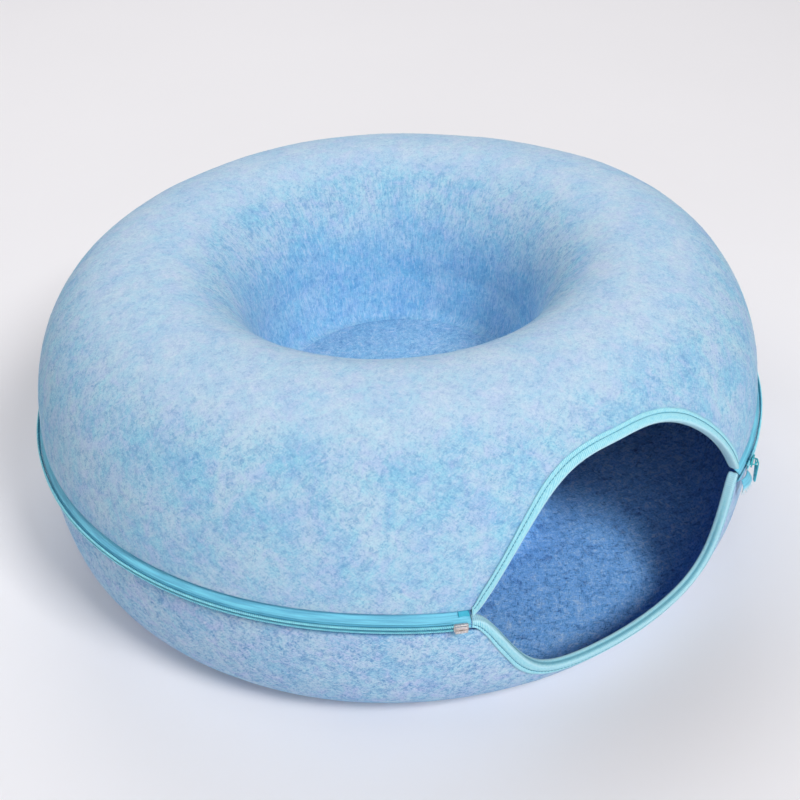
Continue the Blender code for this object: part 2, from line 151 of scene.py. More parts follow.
# The zip
ZIP_OPEN = 0.0095
TAPE_T = 0.0008
TAPE_HIDDEN = 0.006
TAPE_SHOWS = 0.0009
TAPE_RIDGE_R = 0.3025
TAPE_LIP = 0.0032
TAPE_LIP_END = 0.0004
TAPE_LIP_OPEN = 0.0026
COIL_IN_R = 0.3032
COIL_OUT_R = 0.3054
COIL_H = 0.0024
COIL_APART = 0.0003
TAPE_END_DEG = 25.05
SLIDER_DEG = 29.5
SLIDER_MOUTH_DEG = 29.2
SLIDER_SLOT = (0.3016, 0.3058)
SLIDER_PLATE = 0.0010
CROWN_OUT = 0.0028
BOX_FROM_DEG = -27.4
BOX_TO_DEG = -25.45
BOX_OUT_R = 0.3072
BOX_H = 0.0064
BOX_BODY_DEPTH = 0.62  # share of the box's depth, under its two lids
BOX_LID_T = 0.0020
COIL_WIRE_R = 0.00060
COIL_FROM_DEG = SLIDER_MOUTH_DEG - 1.2
COIL_TO_DEG = BOX_FROM_DEG - 0.1
COIL_STITCH_SHARE = 0.5  # of the coil's pitch
COIL_SEAMS = (  # name, height from the zip's middle line, radius, thickness of the thread
    ("core", COIL_H + 0.0003, COIL_IN_R + 0.0005, 0.0006),
    ("edge", COIL_H + 0.0018, COIL_IN_R - 0.0001, 0.0003),
)

# The ends of the tapes, at the entrance's corners
FOLDED_END_DEG = (25.15, 26.6)
FOLDED_END_ROWS = slice(7, 13)  # of the tape under it
FOLDED_END_LIFT = 0.0011
TAIL_DEG = (25.5, 28.0)
TAIL_L = 0.0125
TAIL_OUT = 0.0016
TAIL_DROP = 0.0036
TAIL_TWIST = 0.0030
YARN_PITCH = 0.0007
YARN = ((0, -0.0006, 0), (0, 0.0012, 0.0003), (0, 0.0032, 0))
YARN_RADII = (0.00022, 0.0002, 0.00008)

# Flat shapes of the slider, in millimetres along the zip and up
MM = 0.001
SHIELD_MM = (
    (-3.6, -4.0),
    (-0.8, -4.0),
    (5.0, -2.9),
    (5.0, 2.9),
    (-0.8, 4.0),
    (-3.6, 4.0),
    (-5.0, 2.4),
    (-5.0, -2.4),
)
BACK_PLATE = (0.98, 0.68)  # the plate behind the coil, as shares of the one in front
WEDGE_MM = ((-4.9, 0.7), (-4.2, 1.1), (-3.3, 0.0), (-4.2, -1.1), (-4.9, -0.7))
FLANGE_MM = ((-3.0, 3.62), (-0.8, 3.6), (4.6, 2.62))
FLANGE_R = 0.00042
CROWN_MM = (  # along the zip and out of the front plate
    (-3.9, 0.0),
    (-4.0, 1.0),
    (-3.6, 2.1),
    (-2.6, 2.7),
    (0.0, 2.85),
    (2.6, 2.7),
    (3.6, 2.1),
    (4.0, 1.0),
    (3.9, 0.0),
)
CROWN_WIRE_R = 0.00055

# The pull tab, with its heights over the crown that it hangs on
PULL_TAB = {"top": 0.0027, "bottom": -0.0193, "top_width": 0.0064, "bottom_width": 0.0040}
PULL_HOLE = {"top": 0.0016, "bottom": -0.0030, "top_width": 0.0042, "bottom_width": 0.0042}
PULL_PAD = {"top": -0.0052, "bottom": -0.0180, "top_width": 0.0030, "bottom_width": 0.0022}
PULL_TURN_DEG = 36.0

# How the soft ring is out of true
UNEVEN = (
    {"waves": 2, "out": 0.0010, "up": 0.0012, "azimuth": 70.0},
    {"waves": 3, "out": 0.0012, "up": 0.0010, "azimuth": -50.0},
    {"waves": 5, "out": 0.0006, "up": 0.0006, "azimuth": 15.0},
)
CORNER_SAG = 0.003
SAG_WIDTH_DEG = 10.0
SAG_DEPTH = 0.030
SAG_FROM_R = 0.20
SAG_FULL_R = 0.28

# Where the felt is free to lump: it grows from none to full over these distances
FREE_FROM_SEAM = (0.004, 0.022)
FREE_FROM_FOOT = (0.004, 0.02)
FREE_FROM_GROUND = (0.004, 0.03)
FOOT_PRESSED = 0.85  # the wall's foot loses this share of its thickness
FOOT_PRESSED_OVER = (0.012, 0.002)

# Steps of the meshes
ENTRANCE_STEP_DEG = 0.5
ROUND_STEP_DEG = 1.0
ZIP_STEP_DEG = 1.0
EDGE_ROUND_STEPS = 6
TOP_ROWS = (42, 32, 22)  # of the felt, for each stretch of the half's outline
BOTTOM_ROWS = (40, 14, 6, 14, 4, 14)
BINDING_COLUMNS = 241
TAPE_ROWS = 18
COIL_TURN_STEPS = 10
NORMAL_PROBE = 0.0005
STEEP_PROBE_DEG = 0.25

# The fibres
FIBRE_R = 0.2  # the radius at which their pattern is measured
FIBRE_SLANTS = (("fibres_up", 0.0), ("fibres_left", 0.8), ("fibres_right", -0.8))
FIBRE_BEND = 0.7

# Seeds of what is random, one for each kind of piece
LUMP_SEED = 3.0
FIBRE_SEEDS = {"top": 11, "bottom": 12}
WANDER_SEEDS = {"top": 21, "bottom": 22}

# The camera and the stage
CAMERA_AZIMUTH = -32.85
CAMERA_ELEVATION = 34.80
CAMERA_DISTANCE = 1.0942
CAMERA_AIM_Z = 0.1
CAMERA_YAW = 0.0669
CAMERA_PITCH = -0.5251
CAMERA_ROLL = 2.9568
CAMERA_LENS = 56.48
ROOM_SEEN = 0.89  # how bright the room is where the camera sees it over the floor
FLOOR_REACH = 2.9
LIGHT_AIM_Z = 0.1
LIGHTS = (  # name, its setting, azimuth, elevation, distance, side of the square, tint
    ("key_light", "key", 5.0, 44.0, 5.0, 1.4, "FFFEFC"),
    ("front_light", "front", -36.0, 30.0, 5.0, 3.6, "F8FBFF"),
    ("back_light", "back", 150.0, 50.0, 3.2, 2.4, "FFFFFF"),
    ("side_light", "side", -135.0, 44.0, 3.2, 2.4, "FFFEFC"),
)


def linear(code):
    """An sRGB hex colour as linear red, green and blue."""
    channels = [int(code[i : i + 2], 16) / 255 for i in (0, 2, 4)]
    return [c / 12.92 if c <= 0.04045 else ((c + 0.055) / 1.055) ** 2.4 for c in channels]


class FeltSettings(bpy.types.PropertyGroup):
    """The moulded felt."""

    pale: bpy.props.FloatVectorProperty(
        name="Pale", description="Fibres on the outside", subtype="COLOR", default=linear("C0DCEC")
    )
    sky: bpy.props.FloatVectorProperty(
        name="Sky", description="Fibres between", subtype="COLOR", default=linear("8AC5E8")
    )
    deep: bpy.props.FloatVectorProperty(
        name="Deep", description="Darkest fibres", subtype="COLOR", default=linear("478BC8")
    )
    # Also the colour of the sheen painted on faces that look up and on the bottom half.
    pale_wisps_and_sheen: bpy.props.FloatVectorProperty(
        name="Hazy", description="Palest wisps", subtype="COLOR", default=linear("D2DEF2")
    )
    lilac: bpy.props.FloatVectorProperty(
        name="Lilac",
        description="Patches of warmer fibres",
        subtype="COLOR",
        default=linear("BCC8F0"),
    )
    aqua: bpy.props.FloatVectorProperty(
        name="Aqua",
        description="Patches of greener fibres",
        subtype="COLOR",
        default=linear("96DCEE"),
    )
    # Partly the stretched felt's own blue and partly shade painted in the well.
    well: bpy.props.FloatVectorProperty(
        name="Well", description="Fibres in the well", subtype="COLOR", default=linear("66B6E6")
    )
    # The inner face is the same felt: its more saturated blue paints the bounce light and shade
    # inside the tunnel.
    tunnel: bpy.props.FloatVectorProperty(
        name="Tunnel", description="Fibres on the inside", subtype="COLOR", default=linear("76BCFF")
    )
    tunnel_pale: bpy.props.FloatVectorProperty(
        name="Tunnel, pale", description="Palest inside", subtype="COLOR", default=linear("CFE8FF")
    )
    # Also the colour of the shade painted on the tunnel's roof and upper inner walls.
    tunnel_deep: bpy.props.FloatVectorProperty(
        name="Tunnel, deep", description="Darkest inside", subtype="COLOR", default=linear("193C96")
    )
    lump_height: bpy.props.FloatProperty(
        name="Lump height", description="Soft bumps of the felt", default=0.0011, unit="LENGTH"
    )
    lump_size: bpy.props.FloatProperty(
        name="Lump size", description="How wide a bump is", default=0.055, unit="LENGTH"
    )
    loose_fibres: bpy.props.FloatProperty(
        name="Loose fibres", description="Fibres standing up, on each square metre", default=22000.0
    )
    fibre_length: bpy.props.FloatProperty(
        name="Fibre length", description="A loose fibre, at most", default=0.006, unit="LENGTH"
    )


class BindingSettings(bpy.types.PropertyGroup):
    """The ribbon over the entrance's edges."""

    # Ridges and valleys: the highlight and shade of the ribs, painted in.
    ridge: bpy.props.FloatVectorProperty(
        name="Ridges", description="The ribbon's ribs", subtype="COLOR", default=linear("B4ECF6")
    )
    valley: bpy.props.FloatVectorProperty(
        name="Valleys", description="Between its ribs", subtype="COLOR", default=linear("6CC9E4")
    )
    # The shade painted on the leaf behind the felt.
    back: bpy.props.FloatVectorProperty(
        name="Back",
        description="The leaf inside the tunnel",
        subtype="COLOR",
        default=linear("2F86A6"),
    )
    rib: bpy.props.FloatProperty(
        name="Rib", description="From rib to rib", default=0.0015, unit="LENGTH"
    )
    stitch_pitch: bpy.props.FloatProperty(
        name="Stitch", description="From stitch to stitch", default=0.0030, unit="LENGTH"
    )
    thread: bpy.props.FloatVectorProperty(
        name="Thread", description="Sewing thread", subtype="COLOR", default=linear("1F83A6")
    )


class ZipSettings(bpy.types.PropertyGroup):
    """The zip, its slider and its retainer box."""

    tape: bpy.props.FloatVectorProperty(
        name="Tape", description="Woven tape", subtype="COLOR", default=linear("6ECCF0")
    )
    coil: bpy.props.FloatVectorProperty(
        name="Coil", description="Nylon coil", subtype="COLOR", default=linear("96E8FF")
    )
    coil_pitch: bpy.props.FloatProperty(
        name="Coil pitch", description="From turn to turn", default=0.0015, unit="LENGTH"
    )
    paint: bpy.props.FloatVectorProperty(
        name="Paint", description="Slider and pull tab", subtype="COLOR", default=linear("3FC0CC")
    )
    metal: bpy.props.FloatVectorProperty(
        name="Metal", description="Retainer box", subtype="COLOR", default=linear("E6DCDA")
    )


class StudioSettings(bpy.types.PropertyGroup):
    """Floor, lights and camera."""

    floor: bpy.props.FloatVectorProperty(
        name="Floor", description="Seamless paper", subtype="COLOR", default=linear("F4F2F6")
    )
    key: bpy.props.FloatProperty(
        name="Key light", description="In front of the entrance", default=164.0, unit="POWER"
    )
    front: bpy.props.FloatProperty(
        name="Front light", description="Large soft light by the camera", default=65.0, unit="POWER"
    )
    back: bpy.props.FloatProperty(
        name="Back light", description="Large soft light behind", default=41.0, unit="POWER"
    )
    side: bpy.props.FloatProperty(
        name="Side light",
        description="Large soft light behind, on the left",
        default=27.0,
        unit="POWER",
    )
    ambient: bpy.props.FloatProperty(
        name="Ambient", description="Light from all round the room", default=0.01
    )


class CatCaveSettings(bpy.types.PropertyGroup):
    """Everything that can be set."""

    felt: bpy.props.PointerProperty(type=FeltSettings)
    binding: bpy.props.PointerProperty(type=BindingSettings)
    zip: bpy.props.PointerProperty(type=ZipSettings)
    studio: bpy.props.PointerProperty(type=StudioSettings)


# ---------------------------------------------------------------- shape of the ring


def quarter(side, top, power, count=160):
    """A quarter turn from a point where the line is upright to one where it is level."""
    turn = np.linspace(0.0, math.pi / 2, count + 1)
    across = np.maximum(np.cos(turn), 0.0) ** (2 / power)
    up = np.sin(turn) ** (2 / power)
    return np.stack([top[0] + (side[0] - top[0]) * across, side[1] + (top[1] - side[1]) * up], 1)


def distances(points):
    """How far along a line each of its points is."""
    steps = np.linalg.norm(np.diff(points, axis=0), axis=1)
    return np.concatenate([[0.0], np.cumsum(steps)])


def fillet(before, corner, after, radius, count=12):
    """The round that replaces a corner between two straight lines."""
    corner = Vector(corner)
    back = (Vector(before) - corner).normalized()
    ahead = (Vector(after) - corner).normalized()
    half = back.angle(ahead) / 2
    centre = corner + (back + ahead).normalized() * (radius / math.sin(half))
    start = corner + back * (radius / math.tan(half)) - centre
    turn = math.pi - 2 * half
    if back.x * ahead.y - back.y * ahead.x > 0:
        turn = -turn
    points = [centre + Matrix.Rotation(turn * i / count, 2) @ start for i in range(count + 1)]
    return np.array(points)


class Outline:
    """A line in the (radius, height) plane, read by the distance along it."""

    def __init__(self, stretches, outer_side):
        points, self.ends = [stretches[0][:1]], []
        for stretch in stretches:
            points.append(stretch[1:] if stretch is stretches[0] else stretch)
            self.ends.append(len(np.concatenate(points)) - 1)
        points = np.concatenate(points)
        self.along = distances(points)
        self.ends = [self.along[i] for i in self.ends]
        self.r, self.z = points[:, 0], points[:, 1]
        self.outer_side = outer_side

    def point(self, distance):
        """The point at a distance along the line, which goes on straight before its start."""
        before = np.minimum(distance, 0.0) * self.outer_side
        return (
            np.interp(distance, self.along, self.r),
            np.interp(distance, self.along, self.z) + before,
        )

    def moved(self, distance, out):
        """The point at a distance along the line, moved out of its outer face."""
        distance = np.minimum(distance, self.along[-1])
        r0, z0 = self.point(distance - NORMAL_PROBE)
        r1, z1 = self.point(distance + NORMAL_PROBE)
        size = np.hypot(r1 - r0, z1 - z0) * self.outer_side
        r, z = self.point(distance)
        return r + (z1 - z0) / size * out, z - (r1 - r0) / size * out

    def distance_at_height(self, height):
        """How far along its first stretch it passes a height."""
        first = self.along <= self.ends[0] + 1e-9
        rising = self.z[first] * self.outer_side
        found = np.interp(height * self.outer_side, rising, self.along[first])
        before = (self.z[0] - height) * self.outer_side
        return np.where(before > 0, -before, found)


def top_outline():
    """From the zip over the dome and down the wall of the well to its floor."""
    zip_point, crest, throat = (OUTER_R, ZIP_Z), (CREST_R, HEIGHT), (THROAT_R, THROAT_Z)
    foot = (WELL_FLOOR_R, WELL_FLOOR_Z)
    foot_round = fillet(throat, foot, (0.0, WELL_FLOOR_Z), WELL_FOOT_FLARE)
    return Outline(
        [
            quarter(zip_point, crest, DOME_POWER),
            quarter(throat, crest, 2.0)[::-1],
            np.concatenate([[throat], foot_round]),
        ],
        outer_side=1,
    )


def bottom_outline():
    """From the zip down to the ground, in along it and up to the middle of the raised centre."""
    base_edge, foot = (BASE_R, 0.0), (CENTRE_FOOT_R, 0.0)
    shoulder, middle = (CENTRE_TOP_R, WELL_FLOOR_Z - FELT), (0.0, WELL_FLOOR_Z - FELT)
    foot_round = fillet(base_edge, foot, shoulder, CENTRE_FOOT_FILLET)
    shoulder_round = fillet(foot, shoulder, middle, CENTRE_TOP_FILLET, 5)
    return Outline(
        [
            quarter((OUTER_R, ZIP_Z), base_edge, BASE_POWER),
            np.array([base_edge, foot_round[0]]),
            foot_round,
            np.array([foot_round[-1], shoulder_round[0]]),
            shoulder_round,
            np.array([shoulder_round[-1], middle]),
        ],
        outer_side=-1,
    )


def arch_height(azimuth):
    """The height of the upper edge of the entrance."""
    across = azimuth / ENTRANCE_HALF_DEG
    rise = ARCH_RISE * np.maximum(1 - abs(across) ** ARCH_POWER, 0.0) ** ARCH_FLARE
    return ZIP_Z + ARCH_CORNER + ENTRANCE_TILT * across + rise


def lip_height(azimuth):
    """The height of the lower edge of the entrance."""
    across = azimuth / ENTRANCE_HALF_DEG
    leaning = across - LIP_LEAN * (1 - across**2)
    drop = LIP_DROP * np.maximum(1 - abs(leaning) ** LIP_POWER, 0.0) ** LIP_FLARE
    return ZIP_Z + LIP_CORNER + ENTRANCE_TILT * across - drop


def on_ring(r, azimuth, z):
    """Points of the true ring, put where they lie on the soft one. The base stays flat."""
    lift = z / HEIGHT
    out = up = 0.0
    for wave in UNEVEN:
        swing = np.cos(np.radians(wave["waves"] * (azimuth - wave["azimuth"])))
        out = out + wave["out"] * swing
        up = up + wave["up"] * swing
    from_middle = np.minimum(r / OUTER_R, 1.0)
    outside = np.clip((r - SAG_FROM_R) / (SAG_FULL_R - SAG_FROM_R), 0.0, 1.0)
    side = (abs((azimuth + 180.0) % 360.0 - 180.0) - ENTRANCE_HALF_DEG) / SAG_WIDTH_DEG
    near_zip = np.exp(-(((z - ZIP_Z) / SAG_DEPTH) ** 2))
    sag = CORNER_SAG * outside * near_zip * np.exp(-(side**2))
    turn = np.radians(azimuth)
    r = r + out * lift * from_middle
    z = z + up * lift * from_middle - sag
    return np.stack([r * np.sin(turn), RING_Y - r * np.cos(turn), z + 0 * r], -1)


class Half:
    """One felt half: its outline and the edge of the entrance cut in it."""

    def __init__(self, name, outline, height_at, stretch):
        self.name, self.outline, self.height_at, self.stretch = name, outline, height_at, stretch

    def rim(self, azimuth):
        """How far along the outline the entrance's edge is."""
        return self.outline.distance_at_height(self.height_at(azimuth))

    def steep(self, azimuth):
        """How much longer the rim is there than the arc under it."""
        probe = STEEP_PROBE_DEG
        inside = np.clip(azimuth, probe - ENTRANCE_HALF_DEG, ENTRANCE_HALF_DEG - probe)
        rise = self.rim(inside + probe) - self.rim(inside - probe)
        r = self.outline.point(self.rim(inside))[0]
        return np.hypot(1.0, rise / (math.radians(2 * probe) * r))

    def band(self, azimuth):
        """How far along the outline the binding's free edge is."""
        return self.rim(azimuth) + BINDING_W * np.minimum(self.steep(azimuth), self.stretch)

    def felt_edge(self, azimuth):
        """How far along the outline the felt itself starts, at the entrance or behind the zip."""
        cut = self.rim(azimuth) + (SEAM_GAP + BINDING_T) * self.steep(azimuth)
        entrance = abs(azimuth) <= ENTRANCE_HALF_DEG
        return np.where(entrance, np.maximum(cut, ZIP_OPEN), ZIP_OPEN)

    def place(self, azimuth, distance, out):
        """A place on the felt, or off it, as points of the soft ring."""
        r, z = self.outline.moved(distance, out)
        return on_ring(r, azimuth, z)

    def facing(self, azimuth, distance):
        """The direction straight out of the outer face."""
        step = self.place(azimuth, distance, 0.001) - self.place(azimuth, distance, 0.0)
        return step / np.linalg.norm(step, axis=-1, keepdims=True)


TOP = Half("top", top_outline(), arch_height, ARCH_STRETCH)
BOTTOM = Half("bottom", bottom_outline(), lip_height, LIP_STRETCH)
HALVES = (TOP, BOTTOM)


def smoothstep(low, high, value):
    """Rises smoothly from 0 at the first limit to 1 at the second."""
    share = np.clip((value - low) / (high - low), 0.0, 1.0)
    return share * share * (3 - 2 * share)


# ---------------------------------------------------------------- meshes and nodes


def mesh_object(name, vertices, faces, attributes=None):
    """A mesh object at the origin, with named numbers or vectors on its points."""
    mesh = bpy.data.meshes.new(name)
    mesh.from_pydata([tuple(v) for v in vertices], [], faces)
    for key, values in (attributes or {}).items():
        values = np.asarray(values, np.float32)
        kind, field = ("FLOAT", "value") if values.ndim == 1 else ("FLOAT_VECTOR", "vector")
        mesh.attributes.new(key, kind, "POINT").data.foreach_set(field, values.ravel())
    mesh.update()
    obj = bpy.data.objects.new(name, mesh)
    bpy.context.scene.collection.objects.link(obj)
    return obj


def turned_outwards(obj):
    """Makes the faces of a closed mesh point outwards and smooths it, with its hard edges kept."""
    bm = bmesh.new()
    bm.from_mesh(obj.data)
    if bm.calc_volume(signed=True) < 0:
        bmesh.ops.reverse_faces(bm, faces=bm.faces)
    bm.to_mesh(obj.data)
    bm.free()
    obj.data.shade_smooth()
    return obj


def loft(name, grid, round_the_ring=False, attributes=None):
    """A solid through columns of points. Each column is the closed outline of a section."""
    columns, rows = grid.shape[:2]
    index = np.arange(columns * rows).reshape(columns, rows)
    here = index if round_the_ring else index[:-1]
    there = np.roll(index, -1, axis=0) if round_the_ring else index[1:]
    quads = np.stack([here, np.roll(here, -1, 1), np.roll(there, -1, 1), there], -1)
    faces = quads.reshape(-1, 4).tolist()
    if not round_the_ring:
        faces += [index[0][::-1].tolist(), index[-1].tolist()]
    flat = {}
    for key, values in (attributes or {}).items():
        flat[key] = values.reshape(columns * rows, -1).squeeze()
    return turned_outwards(mesh_object(name, grid.reshape(-1, 3), faces, flat))


def set_inputs(tree, node, inputs):
    """Sets or links a node's inputs, by their place, identifier or name."""
    by_identifier = {socket.identifier: socket for socket in node.inputs}
    for key, value in inputs.items():
        socket = node.inputs[key] if isinstance(key, int) else by_identifier.get(key)
        socket = socket or node.inputs[key]
        if isinstance(value, bpy.types.Node):
            value = next(output for output in value.outputs if output.enabled)
        if isinstance(value, bpy.types.NodeSocket):
            tree.links.new(value, socket)
        else:
            socket.default_value = value


def add_node(tree, kind, inputs=None, **settings):
    """Adds a node with its settings and its inputs."""
    made = tree.nodes.new(kind)
    for key, value in settings.items():
        setattr(made, key, value)
    set_inputs(tree, made, inputs or {})
    return made


def new_tree(name, inputs):
    """An empty geometry tree with its inputs, and the node that gives them."""
    tree = bpy.data.node_groups.new(name, "GeometryNodeTree")
    tree.interface.new_socket("Geometry", in_out="INPUT", socket_type="NodeSocketGeometry")
    for key, kind in inputs.items():
        tree.interface.new_socket(key, in_out="INPUT", socket_type="NodeSocket" + kind)
    tree.interface.new_socket("Geometry", in_out="OUTPUT", socket_type="NodeSocketGeometry")
    return tree, tree.nodes.new("NodeGroupInput").outputs


def close_tree(tree, geometry, material):
    """Makes the instances real, gives them their material and hands them out."""
    real = add_node(tree, "GeometryNodeRealizeInstances", {"Geometry": geometry})
    painted = add_node(tree, "GeometryNodeSetMaterial", {"Geometry": real, "Material": material})
    add_node(tree, "NodeGroupOutput", {"Geometry": painted})


def run_tree(obj, tree, values):
    """Runs a tree on an object and keeps the result as the object's plain mesh."""
    modifier = obj.modifiers.new(tree.name, "NODES")
    modifier.node_group = tree
    for item in tree.interface.items_tree:
        if item.in_out == "INPUT" and item.name in values:
            modifier[item.identifier] = values[item.name]
    depsgraph = bpy.context.evaluated_depsgraph_get()
    result = bpy.data.meshes.new_from_object(
        obj.evaluated_get(depsgraph), preserve_all_data_layers=True, depsgraph=depsgraph
    )
    obj.modifiers.remove(modifier)
    result.name = obj.name
    obj.data = result
    return obj


def felt_relief_tree():
    """Lifts the felt into soft bumps, away from its seams."""
    tree, given = new_tree(
        "felt_relief",
        {"Lump height": "Float", "Lump size": "Float", "Seed": "Float", "Material": "Material"},
    )
    place = add_node(tree, "GeometryNodeInputPosition")
    often = add_node(tree, "ShaderNodeMath", {0: 1.0, 1: given["Lump size"]}, operation="DIVIDE")
    bumps = add_node(
        tree,
        "ShaderNodeTexNoise",
        {"Vector": place, "W": given["Seed"], "Scale": often, "Detail": 2.5, "Roughness": 0.42},
        noise_dimensions="4D",
    )
    centred = add_node(tree, "ShaderNodeMath", {0: bumps, 1: 0.5}, operation="SUBTRACT")
    high = add_node(
        tree, "ShaderNodeMath", {0: centred, 1: given["Lump height"]}, operation="MULTIPLY"
    )
    twice = add_node(tree, "ShaderNodeMath", {0: high, 1: 2.0}, operation="MULTIPLY")
    free = add_node(tree, "GeometryNodeInputNamedAttribute", {"Name": "free"}, data_type="FLOAT")
    masked = add_node(tree, "ShaderNodeMath", {0: twice, 1: free}, operation="MULTIPLY")
    out = add_node(
        tree, "GeometryNodeInputNamedAttribute", {"Name": "out"}, data_type="FLOAT_VECTOR"
    )
    offset = add_node(tree, "ShaderNodeVectorMath", {0: out, "Scale": masked}, operation="SCALE")
    moved = add_node(
        tree, "GeometryNodeSetPosition", {"Geometry": given["Geometry"], "Offset": offset}
    )
    close_tree(tree, moved, given["Material"])
    return tree


def scatter_tree():
    """Scatters loose fibres over the outer face, lying every way."""
    tree, given = new_tree(
        "loose_fibres",
        {
            "Fibre": "Object",
            "Density": "Float",
            "Length": "Float",
            "Seed": "Int",
            "Material": "Material",
        },
    )
    shown = add_node(tree, "GeometryNodeInputNamedAttribute", {"Name": "shown"}, data_type="FLOAT")
    outer = add_node(tree, "FunctionNodeCompare", {0: shown, 1: 0.5}, operation="GREATER_THAN")
    points = add_node(
        tree,
        "GeometryNodeDistributePointsOnFaces",
        {
            "Mesh": given["Geometry"],
            "Selection": outer,
            "Density": given["Density"],
            "Seed": given["Seed"],
        },
    )
    spin = add_node(
        tree,
        "FunctionNodeRandomValue",
        {"Min": (-0.15, -0.15, 0.0), "Max": (0.15, 0.15, 6.283), "Seed": given["Seed"]},
        data_type="FLOAT_VECTOR",
    )
    turn = add_node(tree, "FunctionNodeEulerToRotation", {"Euler": spin})
    turned = add_node(
        tree,
        "FunctionNodeRotateRotation",
        {"Rotation": points.outputs["Rotation"], "Rotate By": turn},
        rotation_space="LOCAL",
    )
    share = add_node(
        tree,
        "FunctionNodeRandomValue",
        {"Min_001": 0.35, "Max_001": 1.0, "Seed": given["Seed"]},
        data_type="FLOAT",
    )
    size = add_node(tree, "ShaderNodeMath", {0: share, 1: given["Length"]}, operation="MULTIPLY")
    fibre = add_node(
        tree, "GeometryNodeObjectInfo", {"Object": given["Fibre"], "As Instance": True}
    )
    placed = add_node(
        tree,
        "GeometryNodeInstanceOnPoints",
        {
            "Points": points,
            "Instance": fibre.outputs["Geometry"],
            "Rotation": turned,
            "Scale": size,
        },
    )
    tone = add_node(
        tree,
        "FunctionNodeRandomValue",
        {"Min_001": 0.0, "Max_001": 1.0, "Seed": 7},
        data_type="FLOAT",
    )
    toned = add_node(
        tree,
        "GeometryNodeStoreNamedAttribute",
        {"Geometry": placed, "Name": "tone", "Value": tone},
        data_type="FLOAT",
        domain="INSTANCE",
    )
    close_tree(tree, toned, given["Material"])
    return tree


def row_tree():
    """Repeats a shape along a path, with its X along the path and its Z out of the surface."""
    tree, given = new_tree(
        "row_along_path",
        {
            "Shape": "Object",
            "Pitch": "Float",
            "Wobble": "Float",
            "Seed": "Int",
            "Material": "Material",
        },
    )
    path = add_node(tree, "GeometryNodeMeshToCurve", {"Mesh": given["Geometry"]})
    spaced = add_node(
        tree, "GeometryNodeResampleCurve", {"Curve": path, "Length": given["Pitch"]}, mode="LENGTH"
    )
    tangent = add_node(tree, "GeometryNodeInputTangent")
    out = add_node(
        tree, "GeometryNodeInputNamedAttribute", {"Name": "out"}, data_type="FLOAT_VECTOR"
    )
    facing = add_node(
        tree,
        "FunctionNodeAxesToRotation",
        {"Primary Axis": tangent, "Secondary Axis": out},
        primary_axis="X",
        secondary_axis="Z",
    )
    less = add_node(tree, "ShaderNodeMath", {0: given["Wobble"], 1: -1.0}, operation="MULTIPLY")
    low = add_node(tree, "ShaderNodeCombineXYZ", {"X": less, "Y": less, "Z": less})
    high = add_node(
        tree,
        "ShaderNodeCombineXYZ",
        {"X": given["Wobble"], "Y": given["Wobble"], "Z": given["Wobble"]},
    )
    wobble = add_node(
        tree,
        "FunctionNodeRandomValue",
        {"Min": low, "Max": high, "Seed": given["Seed"]},
        data_type="FLOAT_VECTOR",
    )
    tilt = add_node(tree, "FunctionNodeEulerToRotation", {"Euler": wobble})
    turned = add_node(
        tree,
        "FunctionNodeRotateRotation",
        {"Rotation": facing, "Rotate By": tilt},
        rotation_space="LOCAL",
    )
    shape = add_node(
        tree, "GeometryNodeObjectInfo", {"Object": given["Shape"], "As Instance": True}
    )
    placed = add_node(
        tree,
        "GeometryNodeInstanceOnPoints",
        {"Points": spaced, "Instance": shape.outputs["Geometry"], "Rotation": turned},
    )
    close_tree(tree, placed, given["Material"])
    return tree


def tube(name, path, radii, sides):
    """A round wire through a row of points, with its ends closed."""
    path = [Vector(p) for p in path]
    vertices, faces = [], []
    side_way = None
    for i, point in enumerate(path):
        ahead = (path[min(i + 1, len(path) - 1)] - path[max(i - 1, 0)]).normalized()
        if side_way is None:
            side_way = ahead.orthogonal().normalized()
        side_way = (side_way - ahead * side_way.dot(ahead)).normalized()
        up = ahead.cross(side_way)
        for k in range(sides):
            turn = 2 * math.pi * k / sides
            vertices.append(point + (side_way * math.cos(turn) + up * math.sin(turn)) * radii[i])
    for i in range(len(path) - 1):
        for k in range(sides):
            j = (k + 1) % sides
            faces.append((i * sides + k, i * sides + j, (i + 1) * sides + j, (i + 1) * sides + k))
    faces.append(tuple(range(sides))[::-1])
    faces.append(tuple(len(vertices) - sides + k for k in range(sides)))
    return turned_outwards(mesh_object(name, vertices, faces))


def stitch_shape(name, length, thickness, steps=6, sides=5):
    """One stitch of sewing thread: it comes up out of the cloth and goes down again."""
    path, radii = [], []
    for i in range(steps + 1):
        share = 2 * i / steps - 1
        path.append((share * length / 2, 0.0, thickness * (0.75 - 1.3 * share**4)))
        radii.append(thickness / 2 * (1 - 0.35 * share**4))
    return tube(name, path, radii, sides)


def fibre_shape(name, thickness, rise):
    """One loose fibre a metre long, to be scaled: a thin spindle in a low arc."""
    spans = (-0.5, -0.2, 0.15, 0.5)
    path = [(x, 0.10 * math.sin(5 * x), rise * (1 - 4 * x * x)) for x in spans]
    radii = [thickness * 0.1, thickness / 2, thickness / 2, thickness * 0.1]
    return tube(name, path, radii, 3)


def repeated(path, shape, pitch, wobble, seed, material, nodes=()):
    """Repeats a shape along a path as one finished piece, and clears the shape away."""
    values = {"Shape": shape, "Pitch": pitch, "Wobble": wobble, "Seed": seed, "Material": material}
    run_tree(path, row_tree(), values)
    bpy.data.objects.remove(shape)
    return dress(path, nodes)


def path_object(name, points, out):
    """A path for a row: a line of edges that knows which way is out of the surface."""
    obj = mesh_object(name, points, [], {"out": out})
    edges = [(i, i + 1) for i in range(len(points) - 1)]
    obj.data.edges.add(len(edges))
    obj.data.edges.foreach_set("vertices", [i for edge in edges for i in edge])
    obj.data.update()
    return obj


